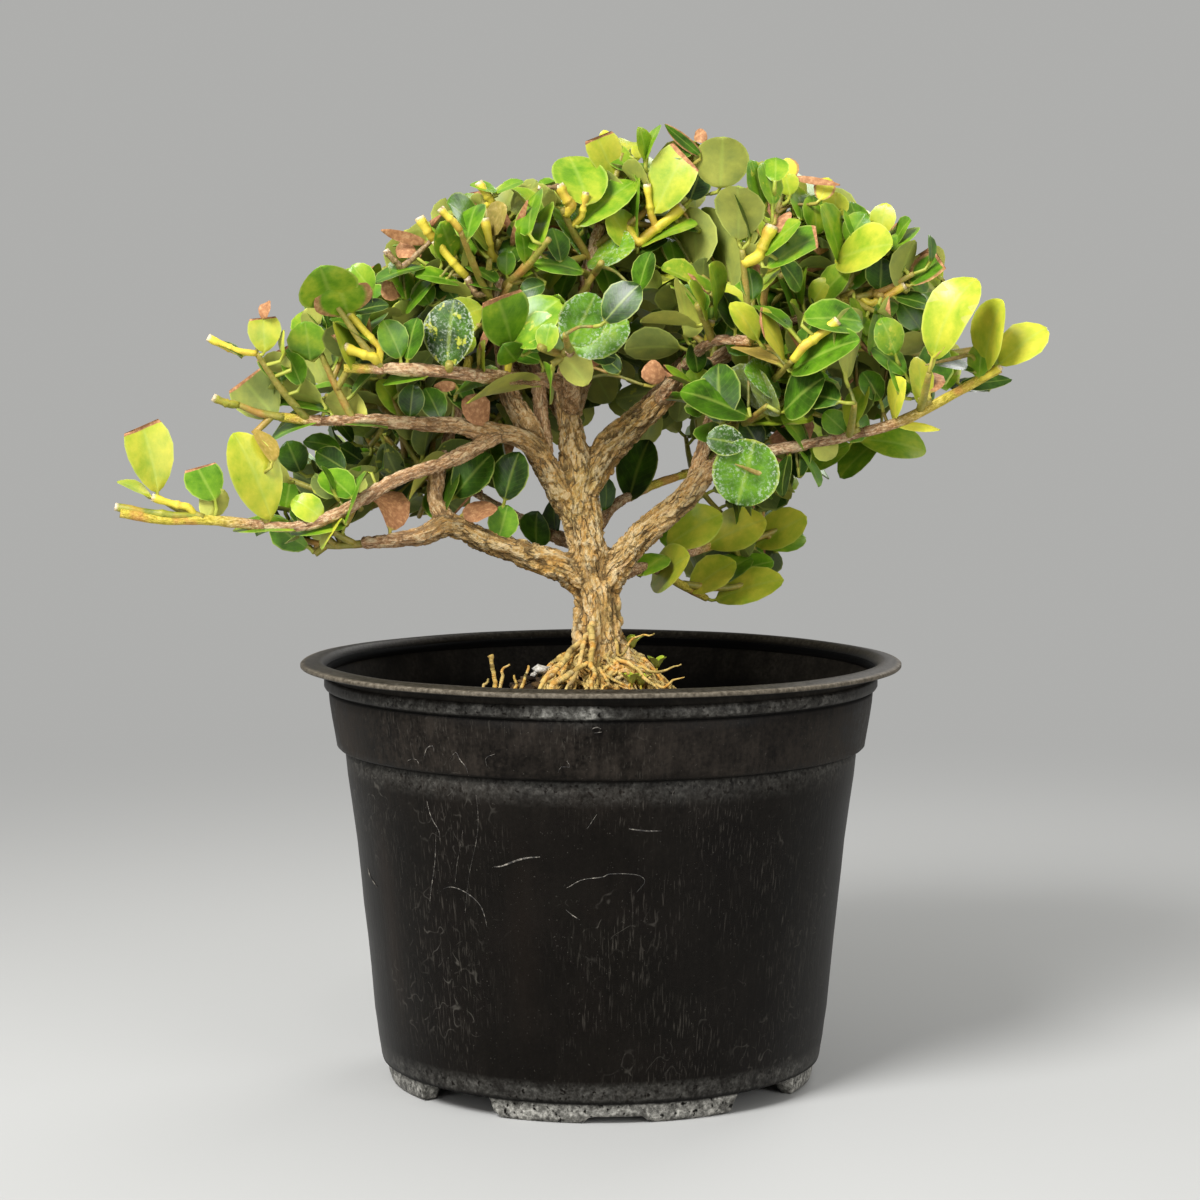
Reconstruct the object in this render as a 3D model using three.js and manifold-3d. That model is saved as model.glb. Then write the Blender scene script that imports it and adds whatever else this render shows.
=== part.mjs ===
// A small natal plum grown as a bonsai: one trunk with its limbs and surface roots, leafy sprays
// at the ends of the limbs, potting soil and a round black plastic nursery pot with a rolled rim.
// Millimetres, +Z up. The pot's axis is the Z axis, and its feet stand on z = 0.
import * as THREE from 'three';
import { mergeVertices } from 'three/addons/utils/BufferGeometryUtils.js';
import Module from 'manifold-3d';

const wasm = await Module();
wasm.setup();
const { Manifold, Mesh } = wasm;

// Pot: a 6.5 inch azalea pot, and every height is measured from the floor it stands on.
const POT_HEIGHT = 116.7;
const RIM_RADIUS = 82.5;
const RIM_DROP = 3.2;
const FLANGE_THICKNESS = 1.9;
const WALL = 1.8;
const SHOULDER_RADIUS = 75.2;
const SHOULDER_TOP = 111.8;
const SHOULDER_BOTTOM = 108.2;
const BAND_TOP_RADIUS = 73.8;
const BAND_BOTTOM_RADIUS = 71.9;
const STEP_TOP = 94.0;
const STEP_BOTTOM = 91.2;
const STEP_RADIUS = 69.8;
const BASE_RADIUS = 60.9;
const CORNER_TOP = 11.0;
const BASE_HEIGHT = 5.6;
const BASE_EDGE_RADIUS = 59.0;
const FOOT_RADIUS = 58.4;
const FOOT_WIDTH = 4.5;
const FOOT_COUNT = 4;
const FOOT_GAP = 19;
const FOOT_TURN = 4;
const NOTCH_WIDTH = 13;
const NOTCH_HEIGHT = 2.0;
const DRAIN_RADIUS = 4.5;
const DRAIN_CIRCLE = 38;
const DRAIN_COUNT = 6;
const POT_SIDES = 48;

// Soil: level at the wall and heaped towards the trunk.
const SOIL_WALL_LEVEL = 97;
const SOIL_HEAP = 106;
const SOIL_SIDES = 32;

// Growth.
const GAP = 0.3;
const LIMB_SIDES = 8;
const TWIG_SIDES = 6;
const TWIG_RADIUS = 2.6;
const SHOOT_RADIUS = 1.25;
const LEAF_THICKNESS = 0.8;
const LEAF_WIDTH_SHARE = 0.72;
const PETIOLE = 1.8;
const LEAF_FOLD = 0.3;
const LEAF_BEND = 0.12;
const FIRST_PAIR = 0.34;
const LAST_PAIR = 0.96;
const SHOOT_SAG = 0.06;
const TIP_LEAF_SHARE = 0.82;
const SMALLEST_LEAF_SHARE = 0.86;
const LARGEST_LEAF_SHARE = 1.08;
// The ways a leaf may open from its shoot, tried in turn: degrees out and degrees round it.
const LEAF_WAYS = [[52, 0], [66, 14], [40, -14], [58, 30], [46, -30], [74, 0]];
// Edges of the joined solids that are shorter than this are taken out.
const SHORTEST_EDGE = 0.02;
// The most of a leaf, in cubic millimetres, that may be cut away where it meets the wood.
const LEAF_CUT = 1.5;
// How far along the leaf each station lies and its half width there, as shares of the whole.
const LEAF_STATIONS = [[-0.12, 0], [0.38, 0.45], [0.8, 0.42], [1, 0]];

// The trunk and its limbs, each a list of [x, y, z, radius] from its root to its end.
const LIMBS = {
  trunk: [
    [0, 0, 92, 5], [0, 0, 101, 9.5], [0, 0, 108, 8.8], [0, 0, 114, 7.6], [-1, 0, 121, 6.8],
    [-1, 0, 132, 6.7], [-3, 0, 144, 6.2], [-5, 0, 155, 5.6], [-6, 0, 163, 5.2],
    [-7, 0, 171, 4.6], [-8, 1, 179, 4.0], [-9, 3, 188, 3.6], [-8, 6, 199, 3.2],
    [-5, 8, 212, 2.6], [-3, 8, 226, 2.1], [0, 6, 236, 1.5],
  ],
  low_left: [
    [-2, 0, 135, 4.6], [-11, -3, 142, 4.2], [-22, -6, 146, 3.9], [-33, -9, 150, 3.8],
    [-42, -11, 154, 3.6], [-49, -12, 151, 2.8], [-57, -12, 150, 2.2], [-65, -12, 149, 1.8],
  ],
  low_left_riser: [
    [-42, -11, 155, 3.0], [-45, -8, 160, 2.6], [-45, -4, 166, 2.4], [-42, 4, 177, 2.0],
    [-39, 12, 187, 1.6], [-37, 20, 199, 1.3],
  ],
  left: [
    [-7, 0, 156, 4.4], [-12, -2, 164, 3.9], [-17, -5, 173, 3.6], [-21, -8, 177, 3.4],
    [-29, -11, 179, 2.9], [-39, -15, 181, 2.6], [-51, -20, 182, 2.3], [-63, -26, 183, 2.0],
    [-75, -30, 183, 1.6], [-85, -32, 184, 1.3],
  ],
  far_left: [
    [-27, -10, 179, 2.6], [-34, -16, 175, 2.4], [-43, -24, 171, 2.2], [-53, -32, 168, 2.1],
    [-62, -38, 163, 2.0], [-71, -43, 158, 1.9], [-79, -46, 156, 1.7], [-86, -48, 156, 1.6],
    [-94, -50, 157, 1.5], [-103, -52, 158, 1.4], [-113, -54, 158, 1.3], [-124, -56, 160, 1.3],
  ],
  left_fork: [
    [-17, -5, 172, 3.3], [-21, -2, 182, 3.2], [-25, 2, 189, 2.8], [-27, -4, 201, 2.2],
    [-28, -12, 215, 1.8], [-27, -14, 221, 1.6],
  ],
  inner_left: [
    [-15, -4, 172, 2.4], [-16, 2, 181, 2.3], [-17, 6, 189, 2.2], [-20, 14, 204, 1.8],
    [-23, 20, 221, 1.4],
  ],
  front_left: [
    [-8, 1, 188, 3.0], [-12, -10, 193, 2.6], [-22, -22, 194, 2.1], [-32, -32, 195, 1.9],
    [-42, -38, 196, 2.0], [-52, -42, 197, 2.0], [-60, -43, 197, 1.5], [-67, -44, 197, 1.3],
  ],
  right: [
    [-5, 0, 163, 4.8], [0, 2, 171, 4.6], [7, 4, 179, 4.3], [14, 4, 185, 3.8],
    [22, 2, 192, 3.0], [31, -2, 198, 2.4], [42, -6, 205, 2.0], [54, -10, 210, 1.7],
    [67, -14, 215, 1.4],
  ],
  low_right: [
    [0, 0, 135, 4.7], [6, -2, 144, 4.3], [14, -4, 153, 4.0], [22, -6, 160, 3.8],
    [28, -9, 167, 3.3], [34, -13, 172, 2.6], [43, -18, 174, 2.0], [53, -24, 176, 1.7],
    [66, -30, 179, 1.6], [79, -36, 183, 1.5], [92, -40, 190, 1.4], [104, -44, 197, 1.3],
  ],
  right_fork: [
    [25, -7, 163, 2.8], [28, -2, 173, 2.6], [31, 4, 182, 2.4], [39, 8, 192, 2.0],
    [53, 12, 199, 1.7], [69, 14, 202, 1.5], [83, 10, 202, 1.2],
  ],
  right_front: [[16, 3, 187, 2.4], [24, -12, 198, 2.0], [30, -22, 204, 1.8], [40, -28, 204, 1.5]],
  centre_front: [[-8, 2, 185, 2.8], [-8, -14, 192, 2.4], [-8, -32, 199, 2.0], [-8, -46, 202, 1.6]],
  back_low: [
    [-1, 3, 152, 2.0], [3, 14, 157, 1.7], [11, 28, 161, 1.5], [21, 44, 164, 1.3],
    [32, 60, 166, 1.1],
  ],
  back_low_right: [[2, 4, 138, 2.2], [14, 26, 140, 1.8], [29, 50, 143, 1.5], [41, 64, 145, 1.2]],
  back_low_branch: [[14, 26, 140, 1.6], [22, 42, 134, 1.4], [31, 56, 128, 1.1]],
  back_left_low: [
    [-4, 3, 147, 2.4], [-14, 22, 149, 2.0], [-28, 40, 155, 1.7], [-43, 52, 163, 1.4],
    [-60, 58, 167, 1.1],
  ],
  back_left: [
    [-8, 2, 179, 2.6], [-15, 22, 189, 2.2], [-28, 40, 200, 1.9], [-43, 54, 210, 1.5],
    [-54, 60, 216, 1.2],
  ],
  back_centre: [
    [-8, 3, 184, 2.8], [-4, 24, 196, 2.3], [-1, 44, 210, 1.9], [1, 56, 225, 1.5],
    [2, 62, 234, 1.2],
  ],
  back_right: [
    [1, 2, 172, 2.6], [14, 28, 187, 2.2], [26, 46, 200, 1.8], [40, 58, 212, 1.4],
    [49, 64, 219, 1.1],
  ],
};

// Surface roots: compass angle in degrees, how far each runs out from the trunk, and its radius.
const ROOTS = [
  [5, 26, 2.2], [48, 22, 1.9], [95, 24, 2.0], [140, 20, 2.2],
  [182, 30, 2.4], [215, 25, 1.8], [250, 22, 2.1], [285, 20, 1.7], [322, 24, 2.0],
];
const ROOT_TOP = 116;
const ROOT_REST = 105.5;
const ROOT_END = 98;

// Leafy sprays: [foot on its limb, tip, pairs of leaves, leaf length, turn of the first pair].
const SPRAYS = {
  far_left_tip: [[-103, -52, 158.5], [-115, -52, 164], 2, 15, 20],
  far_left_tall: [[-87, -48, 156], [-90, -51, 167], 2, 19, 0],
  far_left_inner: [[-72, -43, 158], [-79, -52, 167], 2, 15, 40],
  far_left_behind: [[-63, -38, 163], [-76, -17, 168], 3, 16, 30],
  low_left_end: [[-64, -12, 149], [-84, -4, 150], 3, 17, 60],
  low_left_back: [[-45, -4, 166], [-60, 18, 172], 4, 17, 15],
  low_left_riser_top: [[-38, 17, 194], [-50, 32, 207], 4, 17, 50],
  left_end: [[-84, -32, 184], [-97, -36, 188], 2, 17, 0],
  left_end_top: [[-78, -31, 183.5], [-90, -42, 201], 3, 16, 35],
  left_upper: [[-66, -27, 183], [-75, -32, 203], 3, 17, 80],
  left_behind: [[-51, -20, 182], [-68, 6, 193], 4, 17, 45],
  front_left_clipped: [[-57, -43, 197], [-68, -50, 213], 3, 17, 20],
  front_left_middle: [[-40, -37, 196], [-38, -53, 211], 3, 17, 30],
  front_left_low: [[-27, -27, 194.5], [-33, -50, 189], 3, 17, 0],
  top_left_outer: [[-28, -12, 215], [-49, -21, 236], 4, 16, 25],
  top_left_middle: [[-27, -9, 210], [-37, -34, 233], 4, 16, 60],
  top_left_inner: [[-27, -14, 221], [-32, -6, 244], 4, 15, 10],
  top_left_right: [[-27, -13, 218], [-12, -29, 233], 3, 16, 45],
  top_left_back: [[-21, 17, 213], [-36, 30, 238], 5, 16, 80],
  crown_left: [[-3, 8, 226], [-12, -6, 243], 3, 16, 30],
  crown_middle: [[0, 6, 236], [6, 12, 255.5], 3, 15, 0],
  crown_front: [[-4, 8, 221], [2, -25, 229], 4, 16, 50],
  crown_back: [[-4, 8, 224], [9, 33, 240], 4, 16, 15],
  crown_right: [[-2, 7, 230], [21, 0, 247], 4, 16, 15],
  front_round: [[-8, -46, 202], [-9, -66, 206], 3, 17, 45],
  front_bright: [[-8, -38, 200], [-23, -54, 207.5], 3, 17, 14],
  right_front_high: [[30, -22, 204], [22, -40, 224], 4, 17, 55],
  right_front_side: [[40, -28, 204], [37, -38, 228], 4, 17, 0],
  right_crest_left: [[31, -2, 198], [33, 2, 236], 4, 17, 35],
  right_crest: [[43, -6, 206], [47, -16, 238], 5, 16, 75],
  right_crest_back: [[52, -9, 209], [60, 14, 238], 4, 16, 20],
  right_shoulder: [[56, -11, 211], [64, -30, 225], 3, 17, 60],
  right_end: [[67, -14, 215], [84, -18, 222], 3, 16, 10],
  right_end_top: [[63, -13, 213], [74, -10, 234], 4, 16, 45],
  right_middle: [[39, 8, 192], [50, -44, 199], 4, 17, 30],
  right_far: [[83, 10, 202], [99, -4, 209], 3, 18, 0],
  right_far_back: [[76, 13, 202], [114, 27, 203], 4, 17, 50],
  right_inner: [[31, 3, 180], [44, -34, 187], 3, 17, 15],
  low_right_tip: [[100, -43, 195], [108, -36, 206], 2, 17, 65],
  low_right_outer: [[84, -38, 186], [85, -50, 196], 2, 15, 20],
  low_right_middle: [[66, -30, 179], [66, -47, 188], 2, 15, 50],
  low_right_round: [[36, -14, 173], [37, -40, 171], 2, 18, 0],
  back_low: [[24, 49, 165], [44, 68, 172], 4, 17, 40],
  back_low_right: [[33, 55, 144], [56, 65, 149], 4, 17, 10],
  back_low_branch: [[24, 46, 133], [48, 58, 133], 3, 17, 60],
  back_left_low: [[-48, 54, 164], [-74, 60, 172], 4, 17, 30],
  back_left: [[-43, 54, 210], [-66, 60, 222], 5, 17, 0],
  back_left_inner: [[-20, 29, 193], [-40, 56, 186], 4, 17, 55],
  back_left_high: [[-28, 40, 200], [-22, 48, 228], 4, 16, 30],
  back_centre: [[1, 58, 228], [-6, 64, 245], 4, 16, 20],
  back_centre_low: [[-2, 38, 205], [-9, 64, 207], 4, 16, 60],
  back_right: [[40, 58, 212], [65, 54, 223], 5, 17, 38],
  back_right_inner: [[22, 40, 195], [34, 68, 192], 4, 17, 75],
  back_right_high: [[27, 47, 201], [34, 46, 229], 4, 16, 0],
  right_back_side: [[57, 12, 199.5], [70, 42, 208], 4, 17, 40],
};

const MATERIALS = {
  pot: new THREE.MeshStandardMaterial({ color: '#1d1b19', roughness: 0.5, metalness: 0 }),
  soil: new THREE.MeshStandardMaterial({ color: '#33261b', roughness: 0.95, metalness: 0 }),
  bark: new THREE.MeshStandardMaterial({ color: '#957a57', roughness: 0.9, metalness: 0 }),
  leaf: new THREE.MeshStandardMaterial({ color: '#4f7d22', roughness: 0.38, metalness: 0 }),
};

const bonsai = new THREE.Group();

// Solids

/** Turn a closed three.js geometry into a solid. */
function solid(geometry) {
  const plain = geometry.clone();
  plain.deleteAttribute('normal');
  plain.deleteAttribute('uv');
  const merged = mergeVertices(plain, 1e-4);
  return new Manifold(new Mesh({
    numProp: 3,
    vertProperties: merged.attributes.position.array,
    triVerts: Uint32Array.from(merged.index.array),
  }));
}

/** Turn a solid back into a geometry. */
function geometryOf(body) {
  const mesh = body.getMesh();
  const geometry = new THREE.BufferGeometry();
  geometry.setAttribute('position', new THREE.BufferAttribute(mesh.vertProperties.slice(), 3));
  geometry.setIndex([...mesh.triVerts]);
  geometry.computeVertexNormals();
  return geometry;
}

/** Name a solid, give it its material and add it to the tree. */
function place(name, body, material) {
  const mesh = new THREE.Mesh(geometryOf(body.simplify(SHORTEST_EDGE)), material);
  mesh.name = name;
  bonsai.add(mesh);
}

function join(bodies) {
  return bodies.reduce((all, body) => all.add(body));
}

/** A revolved solid from [radius, height] points that run from the axis round to the axis. */
function revolved(profile, sides) {
  const points = profile.map(([radius, height]) => new THREE.Vector2(radius, height));
  return solid(new THREE.LatheGeometry(points, sides).rotateX(Math.PI / 2));
}

/** A repeatable number from 0 to 1 for a seed. */
function vary(seed) {
  const wave = Math.sin(seed * 12.9898) * 43758.5453;
  return wave - Math.floor(wave);
}

/**
 * A tapered round limb: a cylinder whose rings are carried along a smooth curve through the
 * points, each ring as wide as the radius there plus the margin.
 */
function limb(points, sides, stepsPerPoint = 1, margin = 0) {
  const curve = new THREE.CatmullRomCurve3(points.map(([x, y, z]) => new THREE.Vector3(x, y, z)));
  const spans = points.length - 1;
  const steps = spans * stepsPerPoint;
  const frames = curve.computeFrenetFrames(steps, false);
  const geometry = new THREE.CylinderGeometry(1, 1, 1, sides, steps);
  const position = geometry.attributes.position;
  const vertex = new THREE.Vector3();
  for (let i = 0; i < position.count; i++) {
    vertex.fromBufferAttribute(position, i);
    const step = Math.round((vertex.y + 0.5) * steps);
    const along = step / stepsPerPoint;
    const before = Math.min(Math.floor(along), spans - 1);
    const radius = THREE.MathUtils.lerp(points[before][3], points[before + 1][3], along - before);
    const point = curve.getPoint(step / steps);
    point.addScaledVector(frames.normals[step], vertex.z * (radius + margin));
    point.addScaledVector(frames.binormals[step], vertex.x * (radius + margin));
    if (step === 0) point.addScaledVector(frames.tangents[0], -margin);
    if (step === steps) point.addScaledVector(frames.tangents[steps], margin);
    position.setXYZ(i, point.x, point.y, point.z);
  }
  return solid(geometry);
}

// Pot

/** The pot's wall, floor, rolled rim and foot ring in one revolved section. */
function potBody() {
  const inner = (radius) => radius - WALL;
  return revolved([
    [0, BASE_HEIGHT],
    [FOOT_RADIUS - FOOT_WIDTH, BASE_HEIGHT],
    [FOOT_RADIUS - FOOT_WIDTH + 1, 0],
    [FOOT_RADIUS, 0],
    [FOOT_RADIUS, BASE_HEIGHT],
    [BASE_EDGE_RADIUS, BASE_HEIGHT + 0.4],
    [BASE_RADIUS, CORNER_TOP],
    [STEP_RADIUS, STEP_BOTTOM],
    [BAND_BOTTOM_RADIUS, STEP_TOP],
    [BAND_TOP_RADIUS, SHOULDER_BOTTOM],
    [SHOULDER_RADIUS, SHOULDER_BOTTOM + 0.8],
    [SHOULDER_RADIUS, SHOULDER_TOP],
    [SHOULDER_RADIUS + 0.8, POT_HEIGHT - FLANGE_THICKNESS - 1.5],
    [RIM_RADIUS - 0.8, POT_HEIGHT - RIM_DROP],
    [RIM_RADIUS, POT_HEIGHT - RIM_DROP + 1.2],
    [RIM_RADIUS - 1.2, POT_HEIGHT],
    [RIM_RADIUS - 5, POT_HEIGHT - 0.5],
    [inner(SHOULDER_RADIUS), SHOULDER_TOP - 1],
    [inner(BAND_BOTTOM_RADIUS), STEP_TOP + 0.4],
    [inner(STEP_RADIUS), STEP_BOTTOM + 0.4],
    [inner(BASE_RADIUS), CORNER_TOP],
    [inner(BASE_EDGE_RADIUS) - 0.6, BASE_HEIGHT + WALL],
    [0, BASE_HEIGHT + WALL],
  ], POT_SIDES);
}

/** The gaps that part the foot ring into feet, and the shallow notch in the middle of each foot. */
function footCuts() {
  const cuts = [];
  const reach = FOOT_RADIUS + 4;
  const wedge = new THREE.Shape([
    new THREE.Vector2(0, 0),
    new THREE.Vector2(reach, -reach * Math.tan(THREE.MathUtils.degToRad(FOOT_GAP / 2))),
    new THREE.Vector2(reach, reach * Math.tan(THREE.MathUtils.degToRad(FOOT_GAP / 2))),
  ]);
  for (let i = 0; i < FOOT_COUNT; i++) {
    const middle = THREE.MathUtils.degToRad(270 + FOOT_TURN + (i * 360) / FOOT_COUNT);
    const gap = new THREE.ExtrudeGeometry(wedge, { depth: BASE_HEIGHT + 1, bevelEnabled: false });
    gap.translate(0, 0, -1).rotateZ(middle + Math.PI / FOOT_COUNT);
    cuts.push(solid(gap));
    const notch = new THREE.BoxGeometry(FOOT_WIDTH * 3, NOTCH_WIDTH, NOTCH_HEIGHT * 2);
    notch.translate(FOOT_RADIUS - FOOT_WIDTH / 2, 0, 0).rotateZ(middle);
    cuts.push(solid(notch));
  }
  return join(cuts);
}

/** Round holes through the pot's floor that let water out. */
function drainHoles() {
  const holes = [];
  const angles = Array.from({ length: DRAIN_COUNT }, (_, i) => (i * 2 * Math.PI) / DRAIN_COUNT);
  for (const angle of angles) {
    const hole = new THREE.CylinderGeometry(DRAIN_RADIUS, DRAIN_RADIUS, WALL * 4, 12);
    hole.rotateX(Math.PI / 2);
    hole.translate(DRAIN_CIRCLE * Math.cos(angle), DRAIN_CIRCLE * Math.sin(angle), BASE_HEIGHT);
    holes.push(solid(hole));
  }
  return join(holes);
}

// Soil

/** The soil: it fills the pot to just below the step, and heaps up round the trunk. */
function soilBody() {
  const inside = (radius) => radius - WALL - GAP * 1.6;
  return revolved([
    [0, BASE_HEIGHT + WALL + GAP],
    [inside(BASE_EDGE_RADIUS) - 0.8, BASE_HEIGHT + WALL + GAP],
    [inside(BASE_RADIUS), CORNER_TOP + 0.4],
    [inside(STEP_RADIUS), STEP_BOTTOM],
    [inside(BAND_BOTTOM_RADIUS), STEP_TOP + 1.2],
    [inside(BAND_BOTTOM_RADIUS), SOIL_WALL_LEVEL],
    [55, SOIL_WALL_LEVEL + 2],
    [35, SOIL_WALL_LEVEL + 5],
    [18, SOIL_HEAP],
    [0, SOIL_HEAP + 2],
  ], SOIL_SIDES);
}

// Wood

/** Roots that leave the foot of the trunk, lie on the soil and go down into it. */
function rootPoints([angle, reach, radius]) {
  const turn = THREE.MathUtils.degToRad(angle);
  const at = (share, height, wide, sway = 0) => [
    reach * share * Math.cos(turn + sway), reach * share * Math.sin(turn + sway), height, wide,
  ];
  return [
    at(0.08, ROOT_TOP, radius * 1.5),
    at(0.35, (ROOT_TOP + ROOT_REST) / 2 + 1, radius * 1.2),
    at(0.62, ROOT_REST + 0.8, radius, 0.1),
    at(0.85, ROOT_REST - 3, radius * 0.75, 0.16),
    at(1, ROOT_END, radius * 0.5, 0.2),
  ];
}

/** Trunk, limbs and roots as one solid, each grown by the margin. */
function wood(margin = 0) {
  const limbs = Object.values(LIMBS).map((points) => {
    const sides = points[0][3] > TWIG_RADIUS ? LIMB_SIDES : TWIG_SIDES;
    return limb(points, sides, 1, margin);
  });
  const roots = ROOTS.map((root) => limb(rootPoints(root), TWIG_SIDES, 1, margin));
  return join([...limbs, ...roots]);
}

// Leaves

/**
 * A leaf along +Y with its upper face towards +Z: a four-sided ball drawn out flat. The foot is
 * at the origin, the outline is widest past the middle, the halves fold up from the midrib, and
 * the blade bends down towards its tip.
 */
function leafGeometry(length, thickness) {
  const width = length * LEAF_WIDTH_SHARE;
  const spans = LEAF_STATIONS.length - 1;
  const geometry = new THREE.SphereGeometry(1, 4, spans);
  const position = geometry.attributes.position;
  const vertex = new THREE.Vector3();
  for (let i = 0; i < position.count; i++) {
    vertex.fromBufferAttribute(position, i);
    const fromFoot = Math.acos(THREE.MathUtils.clamp(-vertex.y, -1, 1)) / Math.PI;
    const [share, halfWidth] = LEAF_STATIONS[Math.round(fromFoot * spans)];
    const ring = Math.hypot(vertex.x, vertex.z);
    const across = ring < 1e-6 ? 0 : vertex.x / ring;
    const up = ring < 1e-6 ? 0 : vertex.z / ring;
    const side = across * width * halfWidth;
    const fold = LEAF_FOLD * Math.abs(side);
    const bend = -LEAF_BEND * length * share * share;
    position.setXYZ(i, side, PETIOLE + share * length, up * thickness * 0.5 + fold + bend);
  }
  return geometry;
}

/** Turn a leaf so that it grows from a point in a direction, its upper face towards a normal. */
function leafAt(foot, direction, facing, length, thickness = LEAF_THICKNESS) {
  const yAxis = direction.clone().normalize();
  const xAxis = new THREE.Vector3().crossVectors(yAxis, facing).normalize();
  const zAxis = new THREE.Vector3().crossVectors(xAxis, yAxis);
  const frame = new THREE.Matrix4().makeBasis(xAxis, yAxis, zAxis).setPosition(foot);
  return solid(leafGeometry(length, thickness).applyMatrix4(frame));
}

function boxesMeet(a, b) {
  return a.min.every((low, i) => low < b.max[i] + GAP && b.min[i] < a.max[i] + GAP);
}

/** Whether a solid is clear of every solid in a list. */
function clear(body, others) {
  const box = body.boundingBox();
  return others.every((other) => !boxesMeet(box, other.box)
    || body.intersect(other.body).isEmpty());
}

function withBox(body) {
  return { body, box: body.boundingBox() };
}

/** The shoot of a spray, from just inside its limb to its tip. */
function shootPoints([foot, tip]) {
  const middle = foot.map((value, axis) => value + (tip[axis] - value) * 0.5);
  middle[2] -= SHOOT_SAG * Math.hypot(tip[0] - foot[0], tip[1] - foot[1]);
  return [[...foot, SHOOT_RADIUS], [...middle, SHOOT_RADIUS], [...tip, SHOOT_RADIUS * 0.8]];
}

/**
 * Leaves in opposite pairs along a shoot, each pair a quarter turn from the last. A leaf that
 * would meet another spray or the wood opens wider or closer, and is left off if it still does.
 */
function sprayLeaves(spray, seed, taken, bark) {
  const [, , pairs, length, firstTurn] = spray;
  const points = shootPoints(spray).map(([x, y, z]) => new THREE.Vector3(x, y, z));
  const curve = new THREE.CatmullRomCurve3(points);
  const leaves = [];
  for (let pair = 0; pair < pairs; pair++) {
    const share = THREE.MathUtils.lerp(FIRST_PAIR, LAST_PAIR, pair / (pairs - 1));
    const foot = curve.getPoint(share);
    const along = curve.getTangent(share);
    const side = new THREE.Vector3().crossVectors(along, new THREE.Vector3(0, 0, 1));
    if (side.length() < 0.2) side.set(1, 0, 0).cross(along);
    side.normalize();
    for (const half of [0, 1]) {
      const turn = firstTurn + pair * 90 + half * 180;
      const spread = vary(seed + pair * 3.1 + half * 1.7);
      const fullness = THREE.MathUtils.lerp(SMALLEST_LEAF_SHARE, LARGEST_LEAF_SHARE, spread);
      const size = length * fullness * (pair === pairs - 1 ? TIP_LEAF_SHARE : 1);
      for (const [open, twist] of LEAF_WAYS) {
        const round = THREE.MathUtils.degToRad(turn + twist);
        const out = THREE.MathUtils.degToRad(open - (12 * pair) / pairs);
        const outward = side.clone().applyAxisAngle(along, round);
        const direction = along.clone().multiplyScalar(Math.cos(out));
        direction.addScaledVector(outward, Math.sin(out));
        const facing = along.clone().multiplyScalar(Math.sin(out));
        facing.addScaledVector(outward, -Math.cos(out));
        const skin = foot.clone().addScaledVector(outward, SHOOT_RADIUS * 0.55);
        const probe = leafAt(skin, direction, facing, size * 1.03, LEAF_THICKNESS * 2);
        if (!clear(probe, taken) || probe.intersect(bark).volume() > LEAF_CUT) continue;
        const leaf = leafAt(skin, direction, facing, size);
        if (!clear(leaf, leaves.map(withBox))) continue;
        leaves.push(leaf);
        break;
      }
    }
  }
  return leaves;
}

/** The largest separate piece of a solid. */
function largest(body) {
  return body.decompose().reduce((best, piece) => (piece.volume() > best.volume() ? piece : best));
}

// The whole plant in its pot

place('pot', potBody().subtract(footCuts()).subtract(drainHoles()), MATERIALS.pot);

const bark = wood();
const clearOfBark = wood(GAP);
place('potting_soil', largest(soilBody().subtract(clearOfBark)), MATERIALS.soil);
place('tree', bark, MATERIALS.bark);

// What each spray takes up: its shoot and a margin until it has grown, then its shoot and leaves.
const taken = new Map();
for (const [name, spray] of Object.entries(SPRAYS)) {
  taken.set(name, withBox(limb(shootPoints(spray), TWIG_SIDES, 1, GAP)));
}
let seed = 0;
for (const [name, spray] of Object.entries(SPRAYS)) {
  seed += 1;
  const others = [...taken].filter(([other]) => other !== name).map(([, body]) => body);
  const leaves = sprayLeaves(spray, seed, others, clearOfBark);
  const shoot = limb(shootPoints(spray), TWIG_SIDES);
  const whole = largest(join([shoot, ...leaves]).subtract(clearOfBark));
  taken.set(name, withBox(whole));
  place(`leaves_${name}`, whole, MATERIALS.leaf);
}

export default bonsai;
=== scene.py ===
"""Looks of a small natal plum grown as a bonsai, in a round black plastic nursery pot.

Lengths in this file are millimetres until a mesh is made, which is in metres. The pot's axis is
the Z axis, its feet stand on z = 0, and the plant is seen from the front along +Y.
"""

import math

import bpy
import numpy as np
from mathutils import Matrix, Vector


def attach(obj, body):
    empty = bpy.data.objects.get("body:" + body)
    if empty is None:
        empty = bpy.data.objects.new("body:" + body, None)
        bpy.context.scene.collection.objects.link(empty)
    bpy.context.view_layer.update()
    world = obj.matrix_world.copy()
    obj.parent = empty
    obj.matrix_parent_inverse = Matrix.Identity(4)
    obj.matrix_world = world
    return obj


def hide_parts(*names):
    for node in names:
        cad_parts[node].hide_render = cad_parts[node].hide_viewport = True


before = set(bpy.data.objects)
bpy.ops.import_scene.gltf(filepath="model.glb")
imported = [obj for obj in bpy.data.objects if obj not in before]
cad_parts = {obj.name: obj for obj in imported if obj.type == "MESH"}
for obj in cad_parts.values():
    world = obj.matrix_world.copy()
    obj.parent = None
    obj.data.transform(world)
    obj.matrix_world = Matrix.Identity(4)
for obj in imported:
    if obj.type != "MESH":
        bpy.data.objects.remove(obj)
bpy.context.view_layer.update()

MM = 0.001

# The photograph's camera: it is 1200 pixels wide and high, its lens has this focal length in
# pixels, and it stands in front of the pot's axis and looks down a little.
PHOTO_SIZE = 1200
FOCAL_PIXELS = 3175.0
EYE = np.array([-0.2, -874.0, 210.3])
LOOK_DOWN = 0.0888
SENSOR = 36.0


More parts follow.
